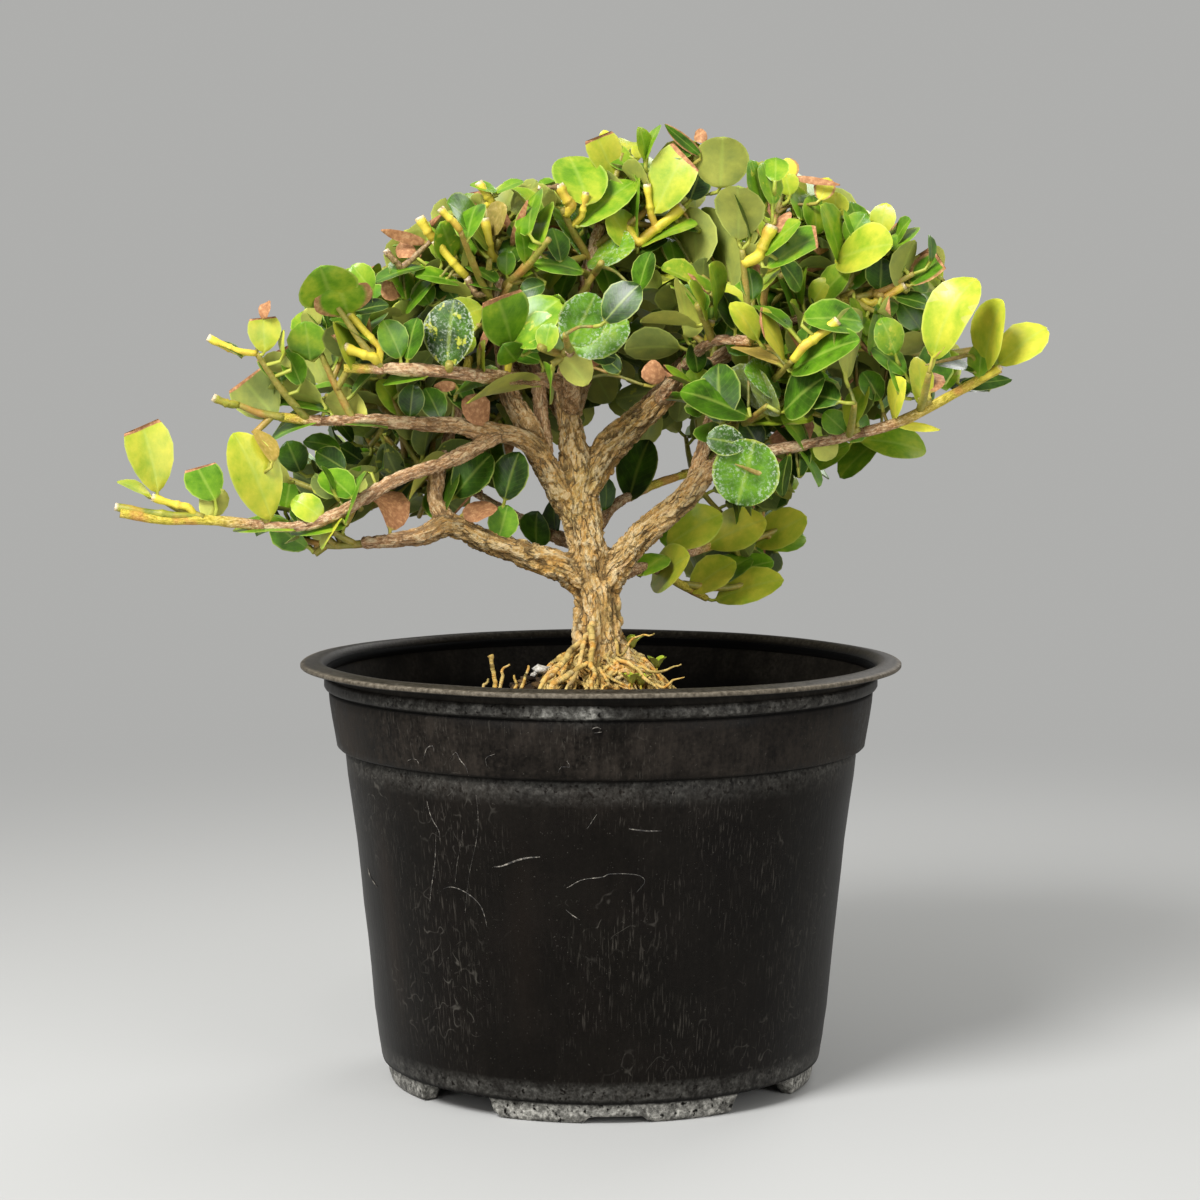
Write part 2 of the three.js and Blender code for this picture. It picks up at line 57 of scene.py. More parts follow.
def at(u, v, depth):
    """The point in millimetres that the photograph shows at pixel (u, v), at y = depth."""
    across = (u - PHOTO_SIZE / 2) / FOCAL_PIXELS
    upward = (PHOTO_SIZE / 2 - v) / FOCAL_PIXELS
    cosine, sine = math.cos(LOOK_DOWN), math.sin(LOOK_DOWN)
    forward = depth - EYE[1]
    rise = forward * (upward * cosine - sine) / (cosine + upward * sine)
    distance = forward * cosine - rise * sine
    return np.array([EYE[0] + across * distance, depth, EYE[2] + rise])


def seen(points):
    """The pixels at which the photograph shows points, and how far each is from the camera."""
    offset = np.asarray(points, float) - EYE
    cosine, sine = math.cos(LOOK_DOWN), math.sin(LOOK_DOWN)
    distance = offset[..., 1] * cosine - offset[..., 2] * sine
    height = offset[..., 1] * sine + offset[..., 2] * cosine
    u = PHOTO_SIZE / 2 + FOCAL_PIXELS * offset[..., 0] / distance
    v = PHOTO_SIZE / 2 - FOCAL_PIXELS * height / distance
    return u, v, distance


# Numbers


def unit(vectors):
    """Vectors of length one; a vector of no length stays as it is."""
    length = np.linalg.norm(vectors, axis=-1, keepdims=True)
    return vectors / np.maximum(length, 1e-9)


def ramp(values, low, high):
    """Smooth step: 0 below low, 1 above high, and 3t^2 - 2t^3 of the way between."""
    part = np.clip((values - low) / (high - low), 0, 1)
    return part * part * (3 - 2 * part)


def noise(points, seed=0):
    """Smooth noise from -1 to 1: a random number at each corner of a unit lattice, blended by
    3t^2 - 2t^3 between the eight corners round each point."""
    points = np.asarray(points, float)
    cell = np.floor(points).astype(np.int64)
    part = points - cell
    ease = part * part * (3 - 2 * part)
    total = np.zeros(points.shape[:-1])
    for corner in range(8):
        step = np.array([(corner >> axis) & 1 for axis in range(3)])
        key = ((cell + step) * np.array([73856093, 19349663, 83492791])).sum(-1)
        key = (key + seed * 374761393) & 0xFFFFFFFF
        key = ((key ^ (key >> 13)) * 1274126177) & 0xFFFFFFFF
        key = ((key ^ (key >> 15)) * 2246822519) & 0xFFFFFFFF
        value = (key ^ (key >> 16)) / 2147483648.0 - 1
        total += value * np.prod(np.where(step, ease, 1 - ease), axis=-1)
    return total


def layered(points, seed=0, layers=3):
    """Noise at ever finer scales, each half as strong and twice as fine as the last."""
    total = np.zeros(np.asarray(points).shape[:-1])
    for layer in range(layers):
        total += noise(np.asarray(points) * 2.0**layer, seed + layer) / 2.0**layer
    return total


def smooth_path(points, step):
    """A smooth curve through points, sampled about every step mm. Each span is a cubic whose
    slopes at its ends are those of the chord between their neighbours; columns past the third,
    such as the radius, are carried along in the same way."""
    points = np.asarray(points, float)
    chord = np.sqrt(np.linalg.norm(np.diff(points[:, :3], axis=0), axis=1))
    knots = np.concatenate([[0], np.cumsum(np.maximum(chord, 1e-3))])
    padded = np.vstack([2 * points[0] - points[1], points, 2 * points[-1] - points[-2]])
    outer = np.concatenate([[2 * knots[0] - knots[1]], knots, [2 * knots[-1] - knots[-2]]])
    slope = (padded[2:] - padded[:-2]) / (outer[2:] - outer[:-2])[:, None]
    total = np.linalg.norm(np.diff(points[:, :3], axis=0), axis=1).sum()
    count = max(3, int(round(total / step)) + 1)
    t = np.linspace(0, knots[-1], count)
    span = np.clip(np.searchsorted(knots, t, side="right") - 1, 0, len(points) - 2)
    width = knots[span + 1] - knots[span]
    x = ((t - knots[span]) / width)[:, None]
    width = width[:, None]
    start = (1 + 2 * x) * (1 - x) ** 2 * points[span] + x * (1 - x) ** 2 * width * slope[span]
    end = x * x * (3 - 2 * x) * points[span + 1] + x * x * (x - 1) * width * slope[span + 1]
    return start + end


def frames(path):
    """Tangent and two normals along a path; the normals turn no more than the path bends."""
    tangent = unit(np.gradient(path[:, :3], axis=0))
    first = np.cross(tangent[0], [0.31, 0.17, 0.93])
    if np.linalg.norm(first) < 0.2:
        first = np.cross(tangent[0], [1.0, 0.0, 0.0])
    normal = np.zeros_like(tangent)
    normal[0] = unit(first)
    for i in range(1, len(tangent)):
        carried = normal[i - 1] - tangent[i] * (normal[i - 1] @ tangent[i])
        normal[i] = unit(carried)
    return tangent, normal, np.cross(tangent, normal)


# Surfaces: vertices, quads, triangles and named values at each vertex


def surface(points, quads, tris=(), **values):
    tris = np.asarray(tris, int).reshape(-1, 3)
    return {"points": points, "quads": quads, "tris": tris, "values": values}


def joined(surfaces):
    """Several surfaces as one, each with its own vertices."""
    names = sorted({name for s in surfaces for name in s["values"]})
    points, quads, tris, values, start = [], [], [], {name: [] for name in names}, 0
    for s in surfaces:
        points.append(s["points"])
        quads.append(s["quads"] + start)
        tris.append(s["tris"] + start)
        for name in names:
            values[name].append(s["values"].get(name, np.zeros(len(s["points"]))))
        start += len(s["points"])
    values = {name: np.concatenate(parts) for name, parts in values.items()}
    return surface(np.vstack(points), np.vstack(quads), np.vstack(tris), **values)


def grid_quads(rows, columns, closed=True):
    """Quads of a grid of vertices, whose rows are rings where it is closed."""
    i = np.arange(rows - 1)[:, None]
    j = np.arange(columns if closed else columns - 1)[None, :]
    after = (j + 1) % columns
    corners = [i * columns + j, i * columns + after, (i + 1) * columns + after]
    corners.append((i + 1) * columns + j)
    return np.stack(np.broadcast_arrays(*corners), -1).reshape(-1, 4)


def end_fans(rows, columns):
    """Triangles that close the first and the last ring of a grid of rings."""
    k = np.arange(1, columns - 1)
    first = np.stack([np.zeros_like(k), k + 1, k], -1)
    last = np.stack([np.zeros_like(k), k, k + 1], -1) + (rows - 1) * columns
    return np.vstack([first, last])


def tube(points, sides, step, bumps=0.0, seed=0, **values):
    """A round closed tube along a smooth curve through [x, y, z, radius] points. Its radius
    wanders by a share of itself, as a twig's does."""
    path = smooth_path(points, step)
    _, normal, across = frames(path)
    angle = np.linspace(0, 2 * math.pi, sides, endpoint=False)
    run = np.concatenate([[0], np.cumsum(np.linalg.norm(np.diff(path[:, :3], axis=0), axis=1))])
    turn, along = np.meshgrid(angle, run)
    waver = np.stack([np.cos(turn) * 1.3, np.sin(turn) * 1.3, along / 3.0], -1)
    radius = path[:, 3][:, None] * (1 + bumps * layered(waver, seed, 2))
    ring = np.cos(turn)[..., None] * normal[:, None] + np.sin(turn)[..., None] * across[:, None]
    grid = path[:, None, :3] + ring * radius[..., None]
    rows = len(path)
    extra = {name: np.full(rows * sides, value, float) for name, value in values.items()}
    extra["run"] = along.reshape(-1)
    return surface(
        grid.reshape(-1, 3), grid_quads(rows, sides), end_fans(rows, sides), **extra
    )


def piece(name, shape, material, replaced=(), smooth=True):
    """A mesh object in the scene, from a surface in millimetres. It rides on the one body."""
    mesh = bpy.data.meshes.new(name)
    faces = shape["quads"].tolist() + shape["tris"].tolist()
    mesh.from_pydata((shape["points"] * MM).tolist(), [], faces)
    for key, value in shape["values"].items():
        if key in ("uv_across", "uv_along", "sharp"):
            continue
        kind = "FLOAT_VECTOR" if value.ndim == 2 else "FLOAT"
        attribute = mesh.attributes.new(key, kind, "POINT")
        field = "vector" if value.ndim == 2 else "value"
        attribute.data.foreach_set(field, value.astype(np.float32).ravel())
    if "uv_across" in shape["values"]:
        corner = np.zeros(len(mesh.loops), np.int32)
        mesh.loops.foreach_get("vertex_index", corner)
        pair = np.stack([shape["values"]["uv_across"], shape["values"]["uv_along"]], -1)
        layer = mesh.uv_layers.new(name="blade")
        layer.data.foreach_set("uv", pair[corner].astype(np.float32).ravel())
    mesh.polygons.foreach_set("use_smooth", np.full(len(mesh.polygons), smooth))
    if "sharp" in shape["values"]:
        ends = np.zeros(len(mesh.edges) * 2, np.int32)
        mesh.edges.foreach_get("vertices", ends)
        mark = shape["values"]["sharp"][ends.reshape(-1, 2)]
        edge = mesh.attributes.new("sharp_edge", "BOOLEAN", "EDGE")
        edge.data.foreach_set("value", (mark[:, 0] > 0) & (mark[:, 0] == mark[:, 1]))
    mesh.update()
    made = bpy.data.objects.new(name, mesh)
    bpy.context.scene.collection.objects.link(made)
    made.data.materials.append(material)
    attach(made, "root")
    if replaced:
        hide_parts(*replaced)


# Materials


def colour(hex_code):
    """An sRGB hex colour as the linear values that a shader takes."""
    parts = [int(hex_code[i : i + 2], 16) / 255 for i in (1, 3, 5)]
    linear = [p / 12.92 if p <= 0.04045 else ((p + 0.055) / 1.055) ** 2.4 for p in parts]
    return (*linear, 1.0)


def new_material(name):
    """A new material, named for what the real one is, and the function that adds its nodes."""
    material = bpy.data.materials.new(name)
    material.use_nodes = True
    tree = material.node_tree
    tree.nodes.clear()

    def add(kind, *inputs, out=None, stops=(), **others):
        """Adds a node of a kind, with its operation after a space. The inputs go in their order
        and by name, in capitals, as numbers, hex colours or other nodes' outputs. Names in
        small letters are the node's settings. Stops are a ramp's [place, hex colour or grey]."""
        kind, _, operation = kind.partition(" ")
        made = tree.nodes.new("ShaderNode" + kind)
        if operation:
            made.operation = operation
        for key in [key for key in others if key.islower()]:
            setattr(made, key, others.pop(key))
        pairs = list(zip([socket for socket in made.inputs if socket.enabled], inputs))
        pairs += [(made.inputs[key.replace("_", " ")], value) for key, value in others.items()]
        for socket, value in pairs:
            if isinstance(value, bpy.types.NodeSocket):
                tree.links.new(value, socket)
            else:
                socket.default_value = colour(value) if isinstance(value, str) else value
        for index, (place, value) in enumerate(stops):
            elements = made.color_ramp.elements
            if index == 0:
                elements.remove(elements[1])
            element = elements[0] if index == 0 else elements.new(place)
            element.position = place
            element.color = colour(value) if isinstance(value, str) else (value, value, value, 1)
        return made.outputs[out] if out else next((s for s in made.outputs if s.enabled), None)

    return material, add


RGBA = {"data_type": "RGBA"}


def cloudy(add, place, scale, detail, roughness, *stops):
    """Cloudy noise, whose strength the stops turn into greys or colours."""
    return add("ValToRGB", add("TexNoise", place, scale, detail, roughness), stops=stops)


def surfaced(material, add, base, roughness, height, strength, depth, **shader):
    """The finish: a colour, a roughness and a relief, whose depth is in metres. What is the
    same all over is set on the shader's own sockets."""
    normal = add("Bump", Height=height, Strength=strength, Distance=depth)
    shader = add("BsdfPrincipled", Base_Color=base, Roughness=roughness, Normal=normal, **shader)
    add("OutputMaterial", shader)
    return material


def pot_plastic():
    """Recycled black polypropylene, injection moulded and handled: near black with a dull
    shine, a grey haze of dust, fine light rubs down the wall, small curly scuffs, specks, and
    whitish lime on the bead, on the feet and under the step. It also has painted shade, black
    in the grooves and under the flange, faint brown streaks of painted reflection low on the
    wall, and a painted highlight that makes the flange's lip paler."""
    material, add = new_material("black_polypropylene_dusty")
    place = add("TexCoord", out="Object")
    haze, warm, inner, lime, dust, grime = (
        add("Attribute", attribute_name=name, out="Fac")
        for name in ("haze", "warm", "inner", "lime", "dust", "grime")
    )
    fine = add("TexNoise", place, 900.0, 4.0, 0.6)
    broad = add("TexNoise", place, 60.0, 4.0, 0.65)
    streak = add("TexNoise", add("Mapping", place, Scale=(420.0, 420.0, 22.0)), 1.0, 4.0, 0.65)
    cloud = add("Math MULTIPLY_ADD", fine, 0.55, add("Math MULTIPLY", broad, 0.8))
    cloud = add("ValToRGB", cloud, stops=[(0.52, 0.0), (0.82, 1.0)])
    rubbed = add("ValToRGB", streak, stops=[(0.46, 0.0), (0.7, 1.0)])
    rubbed = add("Math MULTIPLY_ADD", rubbed, 0.5, cloud)
    haze = add("Math MULTIPLY", haze, rubbed, use_clamp=True)
    base = add("Mix", haze, "#050301", "#25201b", **RGBA)
    # Painted reflection: faint brown streaks down the lower wall.
    base = add("Mix", add("Math MULTIPLY", warm, 0.3), base, "#241a12", **RGBA)
    outer = add("Math SUBTRACT", 1.0, inner)
    # Rubs 0.3 mm wide and up to 100 mm long, in patches a few centimetres wide.
    down = add("Mapping", place, Scale=(2300.0, 2300.0, 9.0))
    rub = cloudy(add, down, 1.0, 2.0, 0.5, (0.58, 0.0), (0.72, 1.0))
    patch = cloudy(add, place, 34.0, 2.0, 0.55, (0.44, 0.0), (0.62, 1.0))
    rub = add("Math MULTIPLY", add("Math MULTIPLY", rub, patch), outer)
    base = add("Mix", add("Math MULTIPLY", rub, 0.22), base, "#5f5a52", **RGBA)
    # Scuffs: thin curls where smooth noise crosses its middle, 5 mm across, broken up and kept
    # to small patches.
    curl = add("Math SUBTRACT", add("TexNoise", place, 170.0, 1.0, out="Color"), 0.5)
    curl = add("Math ABSOLUTE", curl)
    curl = add("ValToRGB", curl, stops=[(0.0, 1.0), (0.007, 0.6), (0.014, 0.0)])
    patch = cloudy(add, place, 30.0, 2.0, 0.55, (0.54, 0.0), (0.68, 1.0))
    broken = cloudy(add, place, 260.0, 3.0, 0.55, (0.46, 0.0), (0.58, 1.0))
    scuff = add("Math MULTIPLY", add("Math MULTIPLY", curl, patch), broken)
    speck = cloudy(add, place, 1700.0, 1.0, 0.55, (0.72, 0.0), (0.78, 1.0))
    scuff = add("Math MAXIMUM", scuff, add("Math MULTIPLY", speck, 0.7))
    scuff = add("Math MULTIPLY", scuff, outer)
    base = add("Mix", add("Math MULTIPLY", scuff, 0.16), base, "#8b867c", **RGBA)
    # Lime: thick on the bead and the feet, thin under the step.
    crust = cloudy(add, place, 300.0, 5.0, 0.72, (0.38, 0.25), (0.6, 1.0))
    pits = cloudy(add, place, 700.0, 2.0, 0.5, (0.32, 0.0), (0.4, 1.0))
    lime = add("Math MULTIPLY", add("Math MULTIPLY", lime, crust), pits)
    white = add("ValToRGB", fine, stops=[(0.35, "#6b6963"), (0.5, "#93918a"), (0.65, "#c6c3ba")])
    base = add("Mix", add("Math MULTIPLY", lime, 0.86), base, white, **RGBA)
    # A painted highlight makes the flange's outer lip paler as if lit; the rim's top and the inside
    # take a little real dust.
    dust_and_lip_highlight_colour = add("ValToRGB", fine, stops=[(0.35, "#5d5548"), (0.55, "#8a8070"), (0.7, "#a79d8c")])
    base = add("Mix", add("Math MULTIPLY", dust, 0.66), base, dust_and_lip_highlight_colour, **RGBA)
    # Painted shade: the grooves, the gap under the flange and the wall's foot are turned black.
    base = add("Mix", grime, base, "#000000", **RGBA)
    rough = add("Math MULTIPLY_ADD", haze, 0.2, 0.4)
    rough = add("Math MULTIPLY_ADD", lime, 0.3, rough)
    rough = add("Math MULTIPLY_ADD", inner, 0.3, rough)
    rough = add("Math MULTIPLY_ADD", grime, 0.5, rough)
    rough = add("Math MULTIPLY_ADD", dust, 0.25, rough, use_clamp=True)
    height = add("Math MULTIPLY_ADD", fine, 0.3, add("Math MULTIPLY", streak, 0.8))
    height = add("Math MULTIPLY_ADD", lime, 1.2, height)
    shader = {"IOR": 1.49, "Specular_IOR_Level": 0.1}
    return surfaced(material, add, base, rough, height, 0.25, 0.0003, **shader)


def scratched():
    """Scratches in black polypropylene: the plastic turns pale grey where it is scored."""
    material, add = new_material("scored_polypropylene")
    fine = add("TexNoise", add("TexCoord", out="Object"), 800.0, 3.0, 0.6)
    base = add("ValToRGB", fine, stops=[(0.4, "#14110f"), (0.52, "#45413b"), (0.66, "#8d877c")])
    add("OutputMaterial", add("BsdfPrincipled", Base_Color=base, Roughness=0.7))
    return material


def bark():
    """Old bark of a dwarfed trunk: corky plates between furrows that run along the limb. It
    gives grey-tan ridges, ochre plates, cream flakes and dark olive furrows, all matt. The
    furrows' darkness is partly painted shade, and the ridge crests carry a painted highlight."""
    material, add = new_material("furrowed_bark")
    place = add("TexCoord", out="Object")
    along = add("Attribute", attribute_name="bark_place", out="Vector")
    deep, flake, thin, root, young = (
        add("Attribute", attribute_name=name, out="Fac")
        for name in ("ridge", "flake", "thin", "root", "young")
    )
    plates, fibres, cells = (
        add("Mapping", along, Scale=scale)
        for scale in ((0.5, 0.5, 0.2), (2.2, 2.2, 0.75), (0.72, 0.72, 0.24))
    )
    warp = add("TexNoise", along, 0.5, 3.0, out="Color")
    cells = add("Mix", 0.35, cells, warp, blend_type="LINEAR_LIGHT", **RGBA)
    edge = {"feature": "DISTANCE_TO_EDGE", "out": "Distance"}
    crack = add("TexVoronoi", Vector=cells, Scale=1.0, **edge)
    plate = add("SeparateColor", add("TexVoronoi", Vector=cells, Scale=1.0, out="Color"))
    broad = add("TexNoise", plates, 1.0, 4.0, 0.6)
    fine = add("TexNoise", fibres, 1.0, 5.0, 0.7)
    base = add("ValToRGB", broad, stops=[
        (0.28, "#8f6f40"), (0.4, "#b88c4c"), (0.48, "#d09a48"), (0.56, "#cba368"),
        (0.66, "#dfbd88"), (0.8, "#f4e2b8"),
    ])
    tint = add("ValToRGB", plate, stops=[
        (0.0, "#a38a5c"), (0.35, "#cba366"), (0.6, "#dba14c"), (0.8, "#b39a68"), (1.0, "#f2d8a0"),
    ])
    base = add("Mix", 0.5, base, tint, **RGBA)
    fibre = add("ValToRGB", fine, stops=[
        (0.34, "#5a4325"), (0.47, "#b18c55"), (0.55, "#d9b67e"), (0.64, "#fff0cc"),
    ])
    base = add("Mix", 0.42, base, fibre, **RGBA)
    green = cloudy(add, place, 95.0, 3.0, 0.55, (0.48, 0.0), (0.62, 1.0))
    base = add("Mix", add("Math MULTIPLY", green, 0.36), base, "#968b48", **RGBA)
    gold = cloudy(add, place, 150.0, 3.0, 0.55, (0.54, 0.0), (0.63, 1.0))
    base = add("Mix", add("Math MULTIPLY", gold, 0.5), base, "#d8993f", **RGBA)
    # Peeling flakes: one grey, ochre, olive or cream tint for each layer that shows.
    layer = add("ValToRGB", flake, stops=[
        (0.0, "#c4a05a"), (0.22, "#d69c44"), (0.45, "#b0995c"), (0.62, "#efd08c"),
        (0.8, "#c08c3e"), (1.0, "#fbecca"),
    ])
    base = add("Mix", 0.38, base, layer, **RGBA)
    # Thin wood is smoother and redder than the old trunk.
    twig_wood = add("ValToRGB", fine, stops=[(0.34, "#8a5f40"), (0.5, "#cb9c70"), (0.64, "#fbe0ba")])
    base = add("Mix", thin, base, twig_wood, **RGBA)
    # Furrows: darkened to olive brown, partly the bark's own colour and partly painted shade.
    furrow = add("ValToRGB", deep, stops=[(0.0, 1.0), (0.25, 0.3), (0.42, 0.0)])
    shade = add("Mix", thin, "#6a5330", "#6e4c30", **RGBA)
    base = add("Mix", add("Math MULTIPLY", furrow, 0.6), base, shade, **RGBA)
    gap = add("ValToRGB", crack, stops=[(0.0, 1.0), (0.06, 0.8), (0.13, 0.0)])
    where = add("ValToRGB", broad, stops=[(0.44, 0.0), (0.56, 1.0)])
    gap = add("Math MULTIPLY", gap, where)
    gap = add("Math MULTIPLY", gap, add("Math MULTIPLY_ADD", thin, -0.5, 0.75))
    base = add("Mix", gap, base, "#3b2e1a", **RGBA)
    ochre = cloudy(
        add, place, 190.0, 3.0, 0.55, (0.32, "#5b5128"), (0.43, "#a08f48"), (0.5, "#cfb96e"),
        (0.57, "#cf9a38"), (0.63, "#b57c26"), (0.72, "#eadba4"),
    )
    base = add("Mix", add("Math MULTIPLY", root, 0.6), base, ochre, **RGBA)
    # Painted highlight: the ridge crests are lightened to cream.
    crest = add("ValToRGB", deep, stops=[(0.72, 0.0), (0.98, 1.0)])
    base = add("Mix", add("Math MULTIPLY", crest, 0.5), base, "#f0dcae", **RGBA)
    # The last year's wood is yellow green, with an orange flush.
    shoot = add("ValToRGB", fine, stops=[(0.3, "#a59c2a"), (0.5, "#d0c038"), (0.7, "#ecdc50")])
    flush = cloudy(add, place, 130.0, 2.0, 0.55, (0.5, 0.0), (0.62, 0.8))
    shoot = add("Mix", flush, shoot, "#d29448", **RGBA)
    base = add("Mix", add("Math MULTIPLY", young, 0.85), base, shoot, **RGBA)
    height = add("Math ADD", fine, add("Math MULTIPLY", broad, 0.5))
    height = add("Math MULTIPLY_ADD", gap, -0.8, height)
    return surfaced(material, add, base, 0.88, height, 1.0, 0.001, Specular_IOR_Level=0.3)


def potting_mix():
    """Moist peat with bark chips: nearly black crumbs with browner, drier specks."""
    material, add = new_material("peat_and_bark_mix")
    place = add("TexCoord", out="Object")
    crumb = add("TexNoise", place, 420.0, 5.0, 0.7)
    broad = add("TexNoise", place, 70.0, 3.0, 0.55)
    base = add("ValToRGB", crumb, stops=[
        (0.3, "#130d07"), (0.5, "#2a1e12"), (0.64, "#4a3821"), (0.78, "#6e5736"),
    ])
    base = add("Mix", add("Math MULTIPLY", broad, 0.35), base, "#1c130c", **RGBA)
    dry = add("Attribute", attribute_name="shade", out="Fac")
    dry = add("ValToRGB", dry, stops=[(0.55, 0.0), (1.0, 0.75)])
    base = add("Mix", dry, base, "#8a6d46", **RGBA)
    return surfaced(material, add, base, 0.93, crumb, 1.0, 0.0008, Specular_IOR_Level=0.25)


def perlite():
    """Expanded perlite: chalky white popped glass, with dirt in its pores."""
    material, add = new_material("expanded_perlite")
    pores = add("TexNoise", add("TexCoord", out="Object"), 1300.0, 4.0, 0.7)
    base = add("ValToRGB", pores, stops=[(0.3, "#6f6656"), (0.45, "#a8a194"), (0.6, "#cbc8c0")])
    return surfaced(material, add, base, 0.9, pores, 0.6, 0.0004)


# Pot


BASE_HEIGHT = 5.6
FOOT_COUNT = 4
FOOT_TURN = math.radians(274)
FOOT_GAP = math.radians(22)
NOTCH_HALF = math.radians(6.4)
NOTCH_HEIGHT = 2.0
POT_ROUND = 240
LIME_TURN = math.radians(264.5)
# Turns at which two streaks of painted reflection run down the wall.
REFLECTION_TURNS = [math.radians(211), math.radians(252)]
# Places along the profile: the end of the feet, the wall's two ends, the end of the outside and
# the start of the inside.
FEET_END = 14
WALL_START = 15
WALL_END = 46
OUTSIDE_END = 47
INSIDE_START = 59

# The pot's outside and then its inside, as [radius, height] points from the floor's middle.
POT_PROFILE = [
    [0.0, 5.6], [20, 5.6], [40, 5.6], [53.6, 5.6], [54.2, 3.4], [54.6, 0.9], [55.2, 0.15], [56.6, 0.0],
    [58.0, 0.12], [58.7, 0.7], [59.0, 1.6], [59.2, 3.2], [59.3, 4.8], [59.4, 5.4], [60.3, 5.6],
    [60.8, 5.9], [61.1, 6.9], [61.4, 9.0], [61.9, 12.0], [62.4, 16.0], [63.0, 20.0], [64.0, 31.0],
    [64.9, 40.0], [65.9, 49.0], [66.8, 58.0], [67.7, 67.0], [69.1, 77.6], [70.1, 85.0], [70.6, 90.2],
    [70.3, 91.4], [70.5, 92.2], [72.4, 92.6], [73.0, 93.2], [73.2, 94.6], [73.6, 97.0], [74.3, 101.0],
    [74.9, 105.0], [75.1, 107.4], [74.7, 108.1], [74.9, 108.6], [76.0, 108.9], [76.4, 109.6],
    [76.4, 111.3], [76.0, 112.0], [75.2, 112.3], [75.0, 113.4], [75.5, 114.4], [78.6, 114.6],
    [81.8, 114.6], [82.6, 114.7], [82.9, 115.0], [82.9, 115.6], [82.6, 115.9], [81.2, 116.1],
    [79.6, 116.5], [78.4, 116.7], [77.6, 116.6], [76.8, 116.0], [76.0, 114.6], [75.6, 112.4],
    [75.0, 110.0], [74.0, 106.0], [73.1, 101.0], [72.2, 96.5], [71.5, 94.4], [70.2, 92.8], [69.4, 91.0],
    [68.7, 86.0], [67.3, 77.6], [65.2, 58.0], [63.2, 40.0], [61.3, 20.0], [59.9, 12.0], [57.6, 7.9],
    [54.0, 7.4], [40, 7.4], [20, 7.4], [0.0, 7.4],
]


WALL = np.array(POT_PROFILE[WALL_START:WALL_END])


def hump(value, middle, width, power=2):
    """A smooth hump, 1 at its middle. A higher power makes its sides steeper."""
    return np.exp(-((value - middle) / width) ** power)


def turned(profile, sides, shape):
    """A profile of [radius, height] points turned round the Z axis. The shape function moves
    the grid, given each vertex's radius, height, angle and place along the profile. The two
    ends lie on the axis and are closed there by one vertex each."""
    profile = np.asarray(profile, float)
    angle = np.linspace(0, 2 * math.pi, sides, endpoint=False)
    inner = profile[1:-1]
    radius = np.repeat(inner[:, :1], sides, 1)
    height = np.repeat(inner[:, 1:], sides, 1)
    turn = np.repeat(angle[None, :], len(inner), 0)
    place = np.repeat(np.arange(1, len(inner) + 1)[:, None], sides, 1)
    radius, height, values = shape(radius, height, turn, place)
    grid = np.stack([radius * np.cos(turn), radius * np.sin(turn), height], -1).reshape(-1, 3)
    poles = np.array([[0, 0, profile[0, 1]], [0, 0, profile[-1, 1]]])
    first, last = len(grid), len(grid) + 1
    j = np.arange(sides)
    after = (j + 1) % sides
    under = np.stack([np.full(sides, first), after, j], -1)
    base = (len(inner) - 1) * sides
    over = np.stack([np.full(sides, last), base + j, base + after], -1)
    values = {k: np.concatenate([v.reshape(-1), [0, 0]]) for k, v in values.items()}
    quads = grid_quads(len(inner), sides)
    return surface(np.vstack([grid, poles]), quads, np.vstack([under, over]), **values)


